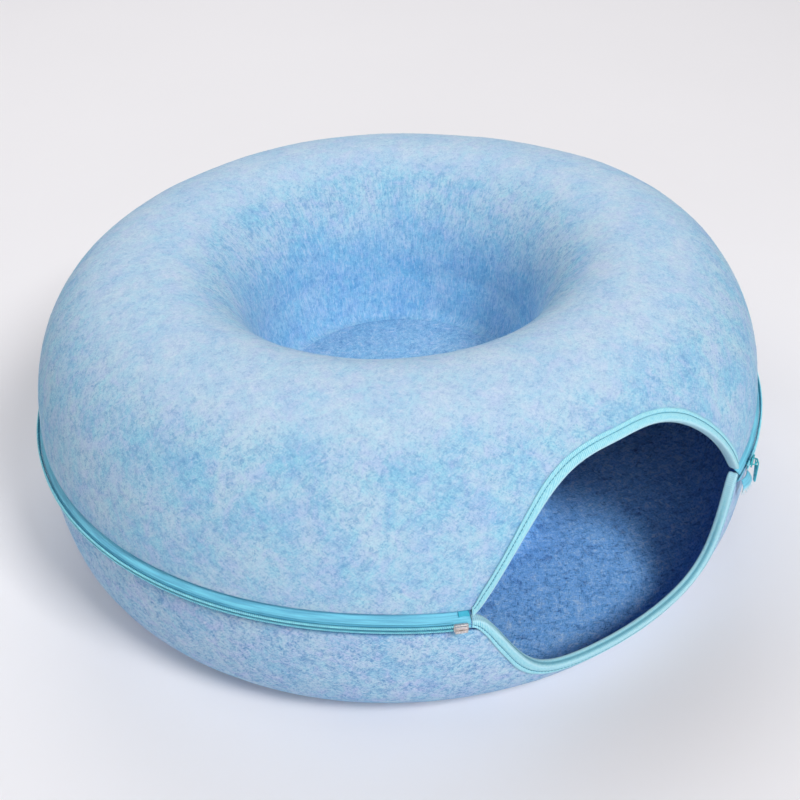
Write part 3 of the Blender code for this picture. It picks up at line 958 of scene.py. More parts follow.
def dress(obj, nodes=(), material=None):
    """Joins a finished piece to the frame."""
    if material is not None:
        obj.data.materials.clear()
        obj.data.materials.append(material)
    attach(obj, BODY)
    if nodes:
        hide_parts(*nodes)
    return obj


def new_material(name):
    """A material with only its shader, and that shader."""
    material = bpy.data.materials.new(name)
    material.use_nodes = True
    tree = material.node_tree
    shader = tree.nodes["Principled BSDF"]
    return material, tree, shader


def colour(value):
    """A colour with its alpha, as a socket takes it."""
    return (*value, 1.0)


def maker(function):
    """Makes a material once."""

    def once(*arguments):
        known = bpy.data.materials.get(function.__name__)
        return known or function(*arguments)

    return once


@maker
def needled_felt(settings):
    """Polyester fibres of several blues, needled and pressed into a stiff felt, then moulded.

    The eye sees soft clouds, small darker specks and short wisps that run every way on the dome
    and straight down the walls of the well, with no gloss. Light and shade are partly painted in:
    a pale sheen on faces that look up and on the bottom half, a deeper blue down the well that is
    partly painted shade, and on the tunnel's side a deeper, more saturated blue that paints its
    bounce light and shade, darkest where shade is painted on its roof and upper walls.
    """
    material, tree, shader = new_material("needled_felt")
    place = add_node(tree, "ShaderNodeTexCoord").outputs["Object"]
    read = {}
    for key in ("mottled", "walls", "well", "inside", "crest", "ceiling"):
        read[key] = add_node(tree, "ShaderNodeAttribute", attribute_name=key).outputs["Fac"]

    # Each pattern's name, the field it is drawn in, its scale, detail, roughness and twist
    patterns = [
        ("cloud", place, 30.0, 5.0, 0.58, 0.4),
        ("hue", place, 70.0, 5.0, 0.66, 0.8),
        ("blots", place, 130.0, 4.0, 0.64, 0.9),
        ("specks", place, 360.0, 4.0, 0.75, 1.2),
        ("grain", place, 900.0, 2.0, 0.6, 0.0),
    ]
    # A fibre is 0.02 mm thick, too fine to show, so its wisps are drawn 2 to 3 mm wide.
    across = 435.0
    for key, field, along, twist in (
        ("left", "fibres_left", 200.0, 2.4),
        ("right", "fibres_right", 200.0, 2.4),
        ("down", "fibres_up", 120.0, 0.9),
    ):
        way = add_node(tree, "ShaderNodeAttribute", attribute_name=field).outputs["Vector"]
        stretch = {"Vector": way, "Scale": (across, across, along)}
        scaled = add_node(tree, "ShaderNodeMapping", stretch)
        patterns.append((key, scaled, 1.0, 3.0, 0.65, twist))
    noise = {}
    for key, vector, scale, detail, roughness, twist in patterns:
        inputs = {"Vector": vector, "Scale": scale, "Detail": detail, "Roughness": roughness}
        noise[key] = add_node(tree, "ShaderNodeTexNoise", {**inputs, "Distortion": twist})
    inputs = {"Factor_Float": 0.5, "A_Float": noise["left"], "B_Float": noise["right"]}
    crossed = add_node(tree, "ShaderNodeMix", inputs)
    inputs = {"Factor_Float": read["walls"], "A_Float": crossed, "B_Float": noise["down"]}
    ways = add_node(tree, "ShaderNodeMix", inputs)
    noise["fibres"] = add_node(
        tree, "ShaderNodeMapRange", {"Value": ways, "From Min": 0.36, "From Max": 0.64}
    )

    # Where each pattern's tone starts and is full, and its least and most share
    share = {}
    for key, source, start, end, least, most in (
        ("cloudy", "cloud", 0.36, 0.64, 0.1, 0.9),
        ("lilac", "hue", 0.5, 0.66, 0.0, 0.8),
        ("aqua", "hue", 0.5, 0.34, 0.0, 0.5),
        ("dark specks", "specks", 0.47, 0.68, 0.0, 0.85),
        ("dark fibres", "fibres", 0.5, 1.0, 0.0, 0.4),
        ("dark blots", "blots", 0.5, 0.68, 0.0, 0.45),
        ("pale specks", "specks", 0.45, 0.25, 0.0, 0.7),
        ("pale fibres", "fibres", 0.45, 0.0, 0.0, 0.6),
        ("pale blots", "blots", 0.48, 0.3, 0.0, 0.4),
    ):
        limits = {"From Min": start, "From Max": end, "To Min": least, "To Max": most}
        share[key] = add_node(tree, "ShaderNodeMapRange", {"Value": noise[source], **limits})
    total = {}
    for tone in ("dark", "pale"):
        inputs = {0: share[tone + " specks"], 1: share[tone + " fibres"]}
        both = add_node(tree, "ShaderNodeMath", inputs, operation="ADD")
        inputs = {0: both, 1: share[tone + " blots"]}
        total[tone] = add_node(tree, "ShaderNodeMath", inputs, operation="ADD", use_clamp=True)
    # Outside, the tones are softer on the dome than under the zip. The inside has no specks.
    for key, first, second, third, operation in (
        ("soft dark", total["dark"], read["mottled"], 0.0, "MULTIPLY"),
        ("soft pale", total["pale"], read["mottled"], 0.0, "MULTIPLY"),
        ("soft lilac", share["lilac"], read["mottled"], 0.0, "MULTIPLY"),
        # The well is washed deeper blue: partly its stretched felt and partly painted shade, most
        # on its floor.
        ("deeper", read["well"], 0.36, 0.0, "MULTIPLY"),
        ("inner dark", share["dark fibres"], 1.7, share["dark blots"], "MULTIPLY_ADD"),
        ("inner pale", share["pale fibres"], 1.2, share["pale blots"], "MULTIPLY_ADD"),
    ):
        inputs = {0: first, 1: second, 2: third}
        share[key] = add_node(tree, "ShaderNodeMath", inputs, operation=operation, use_clamp=True)
    for key, first, second, third in (
        # Painted sheen: faces that look up, and a little of the bottom half's outside, are washed
        # pale, on top of the pale fibres.
        ("pale_wisps_and_sheen", read["crest"], 0.3, share["soft pale"]),
        # Painted shade inside: the roof and the upper inner walls are washed to the darkest blue,
        # on top of the dark fibres.
        ("ceiling", read["ceiling"], 0.95, share["inner dark"]),
    ):
        inputs = {0: first, 1: second, 2: third}
        share[key] = add_node(
            tree, "ShaderNodeMath", inputs, operation="MULTIPLY_ADD", use_clamp=True
        )

    faces = []
    for first, *washes in (
        (
            settings.pale,
            (share["cloudy"], settings.sky),
            (share["soft lilac"], settings.lilac),
            (share["aqua"], settings.aqua),
            (share["deeper"], settings.well),
            (share["soft dark"], settings.deep),
            (share["pale_wisps_and_sheen"], settings.pale_wisps_and_sheen),
        ),
        (
            # The inner face's palette: more saturated blues that paint the tunnel's bounce light
            # and shade, with the felt's pale and dark fibres, and painted shade darkest on the
            # roof.
            settings.tunnel,
            (share["inner pale"], settings.tunnel_pale),
            (share["ceiling"], settings.tunnel_deep),
        ),
    ):
        painted = colour(first)
        for amount, second in washes:
            inputs = {"Factor_Float": amount, "A_Color": painted, "B_Color": colour(second)}
            painted = add_node(tree, "ShaderNodeMix", inputs, data_type="RGBA")
        faces.append(painted)
    both_faces = add_node(
        tree,
        "ShaderNodeMix",
        {"Factor_Float": read["inside"], "A_Color": faces[0], "B_Color": faces[1]},
        data_type="RGBA",
    )
    inputs = {0: noise["fibres"], 1: noise["grain"]}
    height = add_node(tree, "ShaderNodeMath", inputs, operation="ADD")
    bump = add_node(tree, "ShaderNodeBump", {"Height": height, "Strength": 0.3, "Distance": 0.0005})
    set_inputs(tree, shader, {"Base Color": both_faces, "Normal": bump})
    shader.inputs["Roughness"].default_value = 0.95
    shader.inputs["IOR"].default_value = 1.4
    shader.inputs["Specular IOR Level"].default_value = 0.15
    shader.inputs["Sheen Weight"].default_value = 0.12
    shader.inputs["Sheen Roughness"].default_value = 0.6
    shader.inputs["Sheen Tint"].default_value = colour(linear("DCE8FA"))
    return material


@maker
def loose_polyester_fibre(settings):
    """Ends of the same fibres that the needles left standing. Each has one of the felt's blues."""
    material, tree, shader = new_material("loose_polyester_fibre")
    tone = add_node(tree, "ShaderNodeAttribute", attribute_name="tone")
    share = add_node(
        tree,
        "ShaderNodeMapRange",
        {"Value": tone.outputs["Fac"], "From Min": 0.55, "From Max": 1.0},
    )
    mixed = add_node(
        tree,
        "ShaderNodeMix",
        {"Factor_Float": share, "A_Color": colour(settings.pale), "B_Color": colour(settings.deep)},
        data_type="RGBA",
    )
    set_inputs(tree, shader, {"Base Color": mixed})
    shader.inputs["Roughness"].default_value = 0.6
    return material


@maker
def grosgrain_ribbon(settings):
    """Woven polyester ribbon with cross ribs, which catch the light as a row of fine ticks."""
    material, tree, shader = new_material("grosgrain_ribbon")
    field = add_node(tree, "ShaderNodeAttribute", attribute_name="cloth")
    split = add_node(tree, "ShaderNodeSeparateXYZ", {"Vector": field.outputs["Vector"]})
    inputs = {0: split.outputs["X"], 1: 2 * math.pi / settings.rib}
    turns = add_node(tree, "ShaderNodeMath", inputs, operation="MULTIPLY")
    ribs = add_node(tree, "ShaderNodeMath", {0: turns}, operation="SINE")
    yarn = add_node(
        tree,
        "ShaderNodeTexNoise",
        {"Vector": field.outputs["Vector"], "Scale": 420.0, "Detail": 3.0, "Roughness": 0.6},
    )
    ribbed = add_node(
        tree,
        "ShaderNodeMapRange",
        {"Value": ribs, "From Min": -1.0, "From Max": 1.0, "To Min": 0.0, "To Max": 0.55},
    )
    share = add_node(tree, "ShaderNodeMath", {0: ribbed, 1: yarn}, operation="ADD")
    share = add_node(
        tree, "ShaderNodeMapRange", {"Value": share, "From Min": 0.35, "From Max": 1.0}
    )
    # The ribs' pale tops and darker valleys are painted highlight and shade, mixed with the yarn's
    # own mottle.
    mixed = add_node(
        tree,
        "ShaderNodeMix",
        {
            "Factor_Float": share,
            "A_Color": colour(settings.valley),
            "B_Color": colour(settings.ridge),
        },
        data_type="RGBA",
    )
    # Painted shade on the leaf behind the felt and in the lower ribbon's groove, and a painted
    # highlight where the fold catches the light.
    tone = add_node(tree, "ShaderNodeAttribute", attribute_name="tone").outputs["Fac"]
    for limit, second, most in ((-1.0, settings.back, 0.85), (1.0, linear("DCEAF8"), 0.75)):
        limits = {"From Min": 0.0, "From Max": limit, "To Min": 0.0, "To Max": most}
        part = add_node(tree, "ShaderNodeMapRange", {"Value": tone, **limits})
        inputs = {"Factor_Float": part, "A_Color": mixed, "B_Color": colour(second)}
        mixed = add_node(tree, "ShaderNodeMix", inputs, data_type="RGBA")
    height = add_node(tree, "ShaderNodeMath", {0: ribbed, 1: yarn}, operation="ADD")
    bump = add_node(tree, "ShaderNodeBump", {"Height": height, "Strength": 0.5, "Distance": 0.0004})
    set_inputs(tree, shader, {"Base Color": mixed, "Normal": bump})
    shader.inputs["Roughness"].default_value = 0.7
    shader.inputs["Sheen Weight"].default_value = 0.2
    return material


@maker
def woven_zip_tape(settings):
    """Tightly woven polyester tape, smooth to the eye, with faint lines along it."""
    material, tree, shader = new_material("woven_zip_tape")
    field = add_node(tree, "ShaderNodeAttribute", attribute_name="cloth")
    # Herringbone 1.2 mm wide: the real twill of 0.3 mm is too fine to show.
    herringbone, twill_pitch, line_pitch = 0.0012, 0.0009, 0.0016
    split = add_node(tree, "ShaderNodeSeparateXYZ", {"Vector": field.outputs["Vector"]})
    zigzag = add_node(
        tree, "ShaderNodeMath", {0: split.outputs["Y"], 1: herringbone}, operation="PINGPONG"
    )
    slanted = add_node(tree, "ShaderNodeMath", {0: split.outputs["X"], 1: zigzag}, operation="ADD")
    turns = add_node(
        tree, "ShaderNodeMath", {0: slanted, 1: 2 * math.pi / twill_pitch}, operation="MULTIPLY"
    )
    twill = add_node(tree, "ShaderNodeMath", {0: turns}, operation="SINE")
    inputs = {0: split.outputs["Y"], 1: 2 * math.pi / line_pitch}
    lines = add_node(tree, "ShaderNodeMath", inputs, operation="MULTIPLY")
    lines = add_node(tree, "ShaderNodeMath", {0: lines}, operation="SINE")
    both = add_node(
        tree, "ShaderNodeMath", {0: lines, 1: 0.6, 2: twill}, operation="MULTIPLY_ADD"
    )
    share = add_node(
        tree,
        "ShaderNodeMapRange",
        {"Value": both, "From Min": -1.6, "From Max": 1.6, "To Min": 0.0, "To Max": 0.45},
    )
    # It is pulled a little out of true, so soft creases run along it, with their highlight and
    # shade painted as pale and dark streaks.
    drawn = add_node(
        tree, "ShaderNodeMapping", {"Vector": field.outputs["Vector"], "Scale": (28.0, 420.0, 1.0)}
    )
    creases = add_node(tree, "ShaderNodeTexNoise", {"Vector": drawn, "Scale": 1.0, "Detail": 3.0})
    painted_crease_light = add_node(
        tree,
        "ShaderNodeMapRange",
        {"Value": creases, "From Min": 0.35, "From Max": 0.65, "To Min": -0.25, "To Max": 0.55},
    )
    share = add_node(
        tree, "ShaderNodeMath", {0: painted_crease_light, 1: share}, operation="ADD", use_clamp=True
    )
    mixed = add_node(
        tree,
        "ShaderNodeMix",
        {
            "Factor_Float": share,
            "A_Color": colour([c * 0.8 for c in settings.tape]),
            "B_Color": colour([min(c * 1.25 + 0.04, 1.0) for c in settings.tape]),
        },
        data_type="RGBA",
    )
    # The loose tail fades to white at its end, and the folded end is deeper, being double.
    tone = add_node(tree, "ShaderNodeAttribute", attribute_name="tone").outputs["Fac"]
    for limit, second, most in ((1.0, linear("E9F0F6"), 0.85), (-1.0, linear("22B6D2"), 0.85)):
        limits = {"From Min": 0.0, "From Max": limit, "To Min": 0.0, "To Max": most}
        part = add_node(tree, "ShaderNodeMapRange", {"Value": tone, **limits})
        inputs = {"Factor_Float": part, "A_Color": mixed, "B_Color": colour(second)}
        mixed = add_node(tree, "ShaderNodeMix", inputs, data_type="RGBA")
    bump = add_node(tree, "ShaderNodeBump", {"Height": both, "Strength": 0.3, "Distance": 0.0002})
    set_inputs(tree, shader, {"Base Color": mixed, "Normal": bump})
    shader.inputs["Roughness"].default_value = 0.55
    shader.inputs["Sheen Weight"].default_value = 0.15
    return material


@maker
def nylon_monofilament(settings):
    """Nylon wire wound hot into a coil: smooth, with a soft wet-looking line of light."""
    material, tree, shader = new_material("nylon_monofilament")
    place = add_node(tree, "ShaderNodeTexCoord").outputs["Object"]
    noise = add_node(tree, "ShaderNodeTexNoise", {"Vector": place, "Scale": 300.0, "Detail": 2.0})
    share = add_node(
        tree, "ShaderNodeMapRange", {"Value": noise, "From Min": 0.3, "From Max": 0.7}
    )
    mixed = add_node(
        tree,
        "ShaderNodeMix",
        {
            "Factor_Float": share,
            "A_Color": colour([c * 0.85 for c in settings.coil]),
            "B_Color": colour([min(c * 1.15, 1.0) for c in settings.coil]),
        },
        data_type="RGBA",
    )
    # Where the heads of both rows lock into each other, the light hardly gets between them, so
    # shade is painted there.
    head = add_node(tree, "ShaderNodeAttribute", attribute_name="head").outputs["Fac"]
    locked = {"Factor_Float": head, "A_Color": mixed, "B_Color": colour(linear("2D8FAE"))}
    mixed = add_node(tree, "ShaderNodeMix", locked, data_type="RGBA")
    set_inputs(tree, shader, {"Base Color": mixed})
    shader.inputs["Roughness"].default_value = 0.32
    shader.inputs["IOR"].default_value = 1.53
    return material


@maker
def spun_thread(settings):
    """Twisted polyester sewing thread, a little darker than the ribbon it holds."""
    material, tree, shader = new_material("spun_thread")
    place = add_node(tree, "ShaderNodeTexCoord").outputs["Object"]
    noise = add_node(tree, "ShaderNodeTexNoise", {"Vector": place, "Scale": 1500.0, "Detail": 2.0})
    share = add_node(
        tree, "ShaderNodeMapRange", {"Value": noise, "From Min": 0.35, "From Max": 0.65}
    )
    mixed = add_node(
        tree,
        "ShaderNodeMix",
        {
            "Factor_Float": share,
            "A_Color": colour([c * 0.7 for c in settings.thread]),
            "B_Color": colour([min(c * 1.3, 1.0) for c in settings.thread]),
        },
        data_type="RGBA",
    )
    set_inputs(tree, shader, {"Base Color": mixed})
    shader.inputs["Roughness"].default_value = 0.7
    return material


@maker
def frayed_yarn():
    """Unwoven ends of the tape's white yarns."""
    material, tree, shader = new_material("frayed_yarn")
    place = add_node(tree, "ShaderNodeTexCoord").outputs["Object"]
    noise = add_node(tree, "ShaderNodeTexNoise", {"Vector": place, "Scale": 900.0})
    share = add_node(tree, "ShaderNodeMapRange", {"Value": noise, "From Min": 0.4, "From Max": 0.6})
    inputs = {"Factor_Float": share, "A_Color": colour(linear("F2F4F6"))}
    mixed = add_node(
        tree, "ShaderNodeMix", {**inputs, "B_Color": colour(linear("BFE6F2"))}, data_type="RGBA"
    )
    set_inputs(tree, shader, {"Base Color": mixed})
    shader.inputs["Roughness"].default_value = 0.8
    return material


@maker
def enamelled_zinc(settings):
    """Die-cast zinc under a coat of coloured enamel, with a fine mottle in its colour, gloss and
    surface.
    """
    material, tree, shader = new_material("enamelled_zinc")
    place = add_node(tree, "ShaderNodeTexCoord").outputs["Object"]
    noise = add_node(tree, "ShaderNodeTexNoise", {"Vector": place, "Scale": 450.0, "Detail": 3.0})
    share = add_node(
        tree, "ShaderNodeMapRange", {"Value": noise, "From Min": 0.35, "From Max": 0.7}
    )
    mixed = add_node(
        tree,
        "ShaderNodeMix",
        {
            "Factor_Float": share,
            "A_Color": colour([c * 0.8 for c in settings.paint]),
            "B_Color": colour([min(c * 1.2, 1.0) for c in settings.paint]),
        },
        data_type="RGBA",
    )
    rough = add_node(
        tree,
        "ShaderNodeMapRange",
        {"Value": noise, "From Min": 0.3, "From Max": 0.7, "To Min": 0.22, "To Max": 0.38},
    )
    bump = add_node(tree, "ShaderNodeBump", {"Height": noise, "Strength": 0.15, "Distance": 0.0001})
    set_inputs(tree, shader, {"Base Color": mixed, "Roughness": rough, "Normal": bump})
    shader.inputs["Coat Weight"].default_value = 0.4
    shader.inputs["Coat Roughness"].default_value = 0.15
    return material


@maker
def stamped_zinc(settings):
    """Bare pressed metal of the retainer box, warm and dull, mottled darker in fine streaks."""
    material, tree, shader = new_material("stamped_zinc")
    place = add_node(tree, "ShaderNodeTexCoord").outputs["Object"]
    scaled = add_node(tree, "ShaderNodeMapping", {"Vector": place, "Scale": (900.0, 900.0, 200.0)})
    noise = add_node(tree, "ShaderNodeTexNoise", {"Vector": scaled, "Scale": 1.0, "Detail": 3.0})
    share = add_node(
        tree, "ShaderNodeMapRange", {"Value": noise, "From Min": 0.35, "From Max": 0.65}
    )
    mixed = add_node(
        tree,
        "ShaderNodeMix",
        {
            "Factor_Float": share,
            "A_Color": colour([c * 0.62 for c in settings.metal]),
            "B_Color": colour(settings.metal),
        },
        data_type="RGBA",
    )
    rough = add_node(
        tree,
        "ShaderNodeMapRange",
        {"Value": noise, "From Min": 0.3, "From Max": 0.7, "To Min": 0.28, "To Max": 0.5},
    )
    set_inputs(tree, shader, {"Base Color": mixed, "Roughness": rough})
    shader.inputs["Metallic"].default_value = 0.55
    return material


@maker
def studio_paper(settings):
    """Seamless background paper, matt, with a grain too faint to notice."""
    material, tree, shader = new_material("studio_paper")
    place = add_node(tree, "ShaderNodeTexCoord").outputs["Object"]
    noise = add_node(tree, "ShaderNodeTexNoise", {"Vector": place, "Scale": 3.0, "Detail": 4.0})
    mixed = add_node(
        tree,
        "ShaderNodeMix",
        {
            "Factor_Float": noise,
            "A_Color": colour([c * 0.985 for c in settings.floor]),
            "B_Color": colour([min(c * 1.015, 1.0) for c in settings.floor]),
        },
        data_type="RGBA",
    )
    set_inputs(tree, shader, {"Base Color": mixed})
    shader.inputs["Roughness"].default_value = 0.9
    shader.inputs["Specular IOR Level"].default_value = 0.1
    return material


# ---------------------------------------------------------------- pieces


def ring_columns():
    """Azimuths all round, closer together at the entrance."""
    steps = round(2 * ENTRANCE_HALF_DEG / ENTRANCE_STEP_DEG)
    entrance = np.linspace(-ENTRANCE_HALF_DEG, ENTRANCE_HALF_DEG, steps + 1)
    rest = 360.0 - 2 * ENTRANCE_HALF_DEG
    count = round(rest / ROUND_STEP_DEG)
    return np.concatenate([entrance, ENTRANCE_HALF_DEG + rest * np.arange(1, count) / count])


def zip_columns(from_deg, to_deg, step):
    """Azimuths along the zip, the long way round from the entrance's right to its left."""
    count = round((360.0 + to_deg - from_deg) / step)
    return np.linspace(from_deg, 360.0 + to_deg, count + 1)


def felt_rows(half, azimuth):
    """The distances of the outer face's rows from the round of the felt's edge to its far end."""
    ends, edge = half.outline.ends, half.felt_edge(azimuth) + FELT / 2
    counts = TOP_ROWS if half is TOP else BOTTOM_ROWS
    share = np.linspace(0.0, 1.0, counts[0] + 1)
    rows = [edge[:, None] + (ends[0] - edge)[:, None] * share]
    for start, end, count in zip(ends, ends[1:], counts[1:]):
        fixed = start + (end - start) * np.arange(1, count + 1) / count
        if end == ends[-1] and half is BOTTOM:
            fixed = fixed[:-1]
        rows.append(np.broadcast_to(fixed, (len(azimuth), len(fixed))))
    return np.concatenate(rows, axis=1)


def make_felt_half(half, settings):
    """Both faces of one half, with a round free edge, as one closed shell."""
    azimuth = ring_columns()
    outer = felt_rows(half, azimuth)
    edge = outer[:, :1]
    turns = np.linspace(0.0, math.pi, EDGE_ROUND_STEPS + 1)[1:-1]
    edge_rows = edge - np.sin(turns) * FELT / 2
    edge_outs = -(1 - np.cos(turns)) * FELT / 2
    distance = np.concatenate([outer[:, ::-1], edge_rows, outer], axis=1)
    out = np.concatenate([np.zeros(outer.shape[1]), edge_outs, np.full(outer.shape[1], -FELT)])
    out = np.broadcast_to(out, distance.shape)
    if half is TOP:  # the wall's foot is pressed thin
        to_foot = half.outline.along[-1] - distance
        out = out * (1 - FOOT_PRESSED * smoothstep(*FOOT_PRESSED_OVER, to_foot))
    turn = azimuth[:, None] + np.zeros_like(distance)
    grid = half.place(turn, distance, out)
    facing = half.facing(turn, distance)
    attributes = felt_fields(half, turn, distance, out, grid, facing, edge)
    name = f"felt_{half.name}"
    if half is TOP:
        obj = loft(name, grid, True, attributes)
    else:
        obj = with_middle(name, grid, attributes)
    run_tree(
        obj,
        felt_relief_tree(),
        {
            "Lump height": settings.lump_height,
            "Lump size": settings.lump_size,
            "Seed": LUMP_SEED,
            "Material": needled_felt(settings),
        },
    )
    return dress(obj, (f"felt_{half.name}_half",))


def felt_fields(half, azimuth, distance, out, grid, facing, edge):
    """What the felt's finish reads: where it may move, which face shows, its fibres' ways, and
    where shade and sheen are painted.
    """
    ends = half.outline.ends
    free = smoothstep(*FREE_FROM_SEAM, distance - edge)
    z = grid[..., 2]
    if half is TOP:
        free = free * smoothstep(*FREE_FROM_FOOT, half.outline.along[-1] - distance)
    else:  # the ground and the raised centre keep it flat
        free = free * smoothstep(*FREE_FROM_GROUND, z) * (distance < ends[3] - 0.02)
    r = np.hypot(grid[..., 0], grid[..., 1] - RING_Y)
    inside = smoothstep(0.0015, 0.0025, -out)
    if half is BOTTOM:  # the floor of the well is the inner face of the raised centre
        inside = inside * smoothstep(0.1, 0.112, r)
        shown = (inside < 0.5) & (z > 0.01) & (r > 0.2)
    else:
        shown = inside < 0.5
    mottled = 0.6 + 0.4 * smoothstep(0.2, 0.08, z) * (half is BOTTOM) + 0 * r
    walls = smoothstep(0.02, 0.06, distance - ends[0]) * (half is TOP)
    # Deeper blue down the well and on its floor: partly the stretched felt, partly painted shade in
    # the recess.
    well = np.where(half is TOP, smoothstep(0.065, 0.115, distance - ends[0]), 1.7 * (r < 0.12))
    # Painted sheen: pale where the face looks up, and a little pale over the bottom half's outside
    # for painted floor bounce.
    crest = smoothstep(0.72, 0.97, facing[..., 2]) * (distance < ends[1])
    crest = np.where(half is TOP, crest, 0.2) * (1 - inside)
    fields = {
        "free": free,
        "inside": inside,
        "shown": shown.astype(float),
        "out": facing,
        "mottled": mottled,
        "walls": walls,
        "well": well,
        "crest": crest,
        # Painted shade inside the tunnel: all over the top half's inner face, and rising up the
        # bottom half's inner walls.
        "ceiling": np.where(half is TOP, 1.0, 0.7 * smoothstep(0.03, 0.09, z)),
    }
    for key, slant in FIBRE_SLANTS:
        turn = np.radians(azimuth) + slant * distance / FIBRE_R
        along = distance + FIBRE_BEND * slant * FIBRE_R * np.sin(turn)
        fields[key] = np.stack([FIBRE_R * np.sin(turn), -FIBRE_R * np.cos(turn), along], -1)
    return fields


def with_middle(name, grid, attributes):
    """The bottom half's shell, whose two faces are closed in the middle of the well's floor."""
    columns, rows = grid.shape[:2]
    index = np.arange(columns * rows).reshape(columns, rows)
    following = np.roll(index, -1, axis=0)
    quads = np.stack([index[:, :-1], index[:, 1:], following[:, 1:], following[:, :-1]], -1)
    faces = quads.reshape(-1, 4).tolist()
    below, above = columns * rows, columns * rows + 1
    for here, there in zip(index, following):
        faces.append((int(here[0]), int(there[0]), below))
        faces.append((int(there[-1]), int(here[-1]), above))
    middles = [(0.0, RING_Y, WELL_FLOOR_Z - FELT), (0.0, RING_Y, WELL_FLOOR_Z)]
    vertices = np.concatenate([grid.reshape(-1, 3), middles])
    flat = {}
    for key, values in attributes.items():
        values = values.reshape(columns * rows, -1)
        ends = np.stack([values[0], values[rows - 1]])
        flat[key] = np.concatenate([values, ends]).squeeze()
    return turned_outwards(mesh_object(name, vertices, faces, flat))


def make_loose_fibres(half, felt, settings):
    """Fibres standing out of the felt's outer face."""
    fibre = fibre_shape("fibre", thickness=0.014, rise=0.06)
    obj = bpy.data.objects.new(f"felt_{half.name}_fibres", felt.data.copy())
    bpy.context.scene.collection.objects.link(obj)
    values = {
        "Fibre": fibre,
        "Density": settings.loose_fibres,
        "Length": settings.fibre_length,
        "Seed": FIBRE_SEEDS[half.name],
        "Material": loose_polyester_fibre(settings),
    }
    run_tree(obj, scatter_tree(), values)
    bpy.data.objects.remove(fibre)
    return dress(obj)


def binding_section(half, azimuth):
    """The ribbon's folded section at each azimuth: distances and offsets of its outline."""
    rim, steep = half.rim(azimuth), half.steep(azimuth)
    tips = smoothstep(0.0, TIP_DEG, ENTRANCE_HALF_DEG - abs(azimuth))
    width = (half.band(azimuth) - rim) * (TIP_WIDTH + (1 - TIP_WIDTH) * tips)
    inner, thick = -FELT - BEHIND_GAP, BINDING_T
    narrow = width * INNER_LEAF
    places = [(rim + width * share, SEAM_GAP + thick * high) for share, high in LEAF_SHAPE]
    top, low = SEAM_GAP + thick, inner - thick
    middle, reach = (top + low) / 2, (top - low) / 2
    depth = thick * FOLD_DEPTH * steep
    for i, groove in enumerate(FOLD_GROOVE):  # round the fold
        turn = math.pi / 2 - math.pi * i / (len(FOLD_GROOVE) - 1)
        sunk = FOLD_GROOVE_DEPTH * groove if half is BOTTOM else 0.0
        reached = rim + depth * (1 - math.cos(turn) ** FOLD_POWER) + sunk
        places.append((reached, middle + reach * math.sin(turn)))
    behind = LEAF_SHAPE[::-1][2:]
    places += [(rim + narrow * share, inner - thick * high) for share, high in behind]
    tucked = rim + thick * steep * TUCKED_IN
    places += [(rim + narrow, inner), (rim + narrow * 0.6, inner), (tucked, inner)]
    places += [(tucked, SEAM_GAP), (rim + width * 0.5, SEAM_GAP)]
    distance = np.stack([place[0] + 0 * azimuth for place in places], 1)
    out = np.stack([place[1] + 0 * azimuth for place in places], 1)
    return distance, out


def ribbon_wobble(azimuth, seed):
    """How far a hand-sewn ribbon wanders, as a smooth wave along it."""
    random = np.random.default_rng(seed)
    total = np.zeros_like(azimuth)
    for period in (4.0, 7.0, 13.0):
        total += np.sin(2 * math.pi * azimuth / period + random.uniform(0, 2 * math.pi))
    return total / 3


def make_binding(half, settings):
    """The ribbon folded over one edge of the entrance, with its seam and its fringed edge."""
    azimuth = np.linspace(-ENTRANCE_HALF_DEG, ENTRANCE_HALF_DEG, BINDING_COLUMNS)
    distance, out = binding_section(half, azimuth)
    wander = RIBBON_WANDER * ribbon_wobble(azimuth, WANDER_SEEDS[half.name])
    distance[:, :WANDERING_ROWS] += wander[:, None]
    turn = azimuth[:, None] + np.zeros_like(distance)
    grid = half.place(turn, distance, out)
    along = distances(grid[:, MEASURED_ROW])
    across = np.linalg.norm(np.diff(grid, axis=1), axis=2)
    across = np.concatenate([np.zeros((len(azimuth), 1)), np.cumsum(across, axis=1)], axis=1)
    cloth = np.stack([along[:, None] + 0 * across, across, 0 * across], -1)
    # The tone paints shade on the leaf behind the felt and along the lower ribbon's groove, and a
    # highlight along the fold.
    tone = -smoothstep(-FELT * 0.6, -FELT - BEHIND_GAP, out)
    away = smoothstep(0.5, 6.0, ENTRANCE_HALF_DEG - abs(azimuth))[:, None]
    fold = 0.35 if half is TOP else 0.3 - away * 1.2 * np.array(FOLD_GROOVE)
    tone[:, FOLD_ROW : FOLD_ROW + len(FOLD_GROOVE)] = fold
    name = f"binding_{half.name}"
    obj = loft(name, grid, False, {"cloth": cloth, "tone": tone})
    dress(obj, (f"entrance_{name}",), grosgrain_ribbon(settings))
    seams = [make_seam(half, azimuth, settings, side) for side in ("outer", "inner")]
    fringe = make_fringe(half, azimuth, settings)


def make_seam(half, azimuth, settings, side):
    """A row of the stitches that sew the ribbon on, as it shows on one side of the felt."""
    inside = azimuth[2:-2]
    distance, out = binding_section(half, inside)
    row, sign = (OUTER_SEAM_ROW, 1) if side == "outer" else (INNER_SEAM_ROW, -1)
    points = half.place(inside, distance[:, row], out[:, row] + sign * 0.00005)
    facing = half.facing(inside, distance[:, row]) * sign
    path = path_object(f"binding_{half.name}_{side}_stitches", points, facing)
    pitch = settings.stitch_pitch
    stitch = stitch_shape("stitch", pitch * SEAM_STITCH_SHARE, SEAM_THREAD_T)
    return repeated(path, stitch, pitch, 0.05, 5, spun_thread(settings))


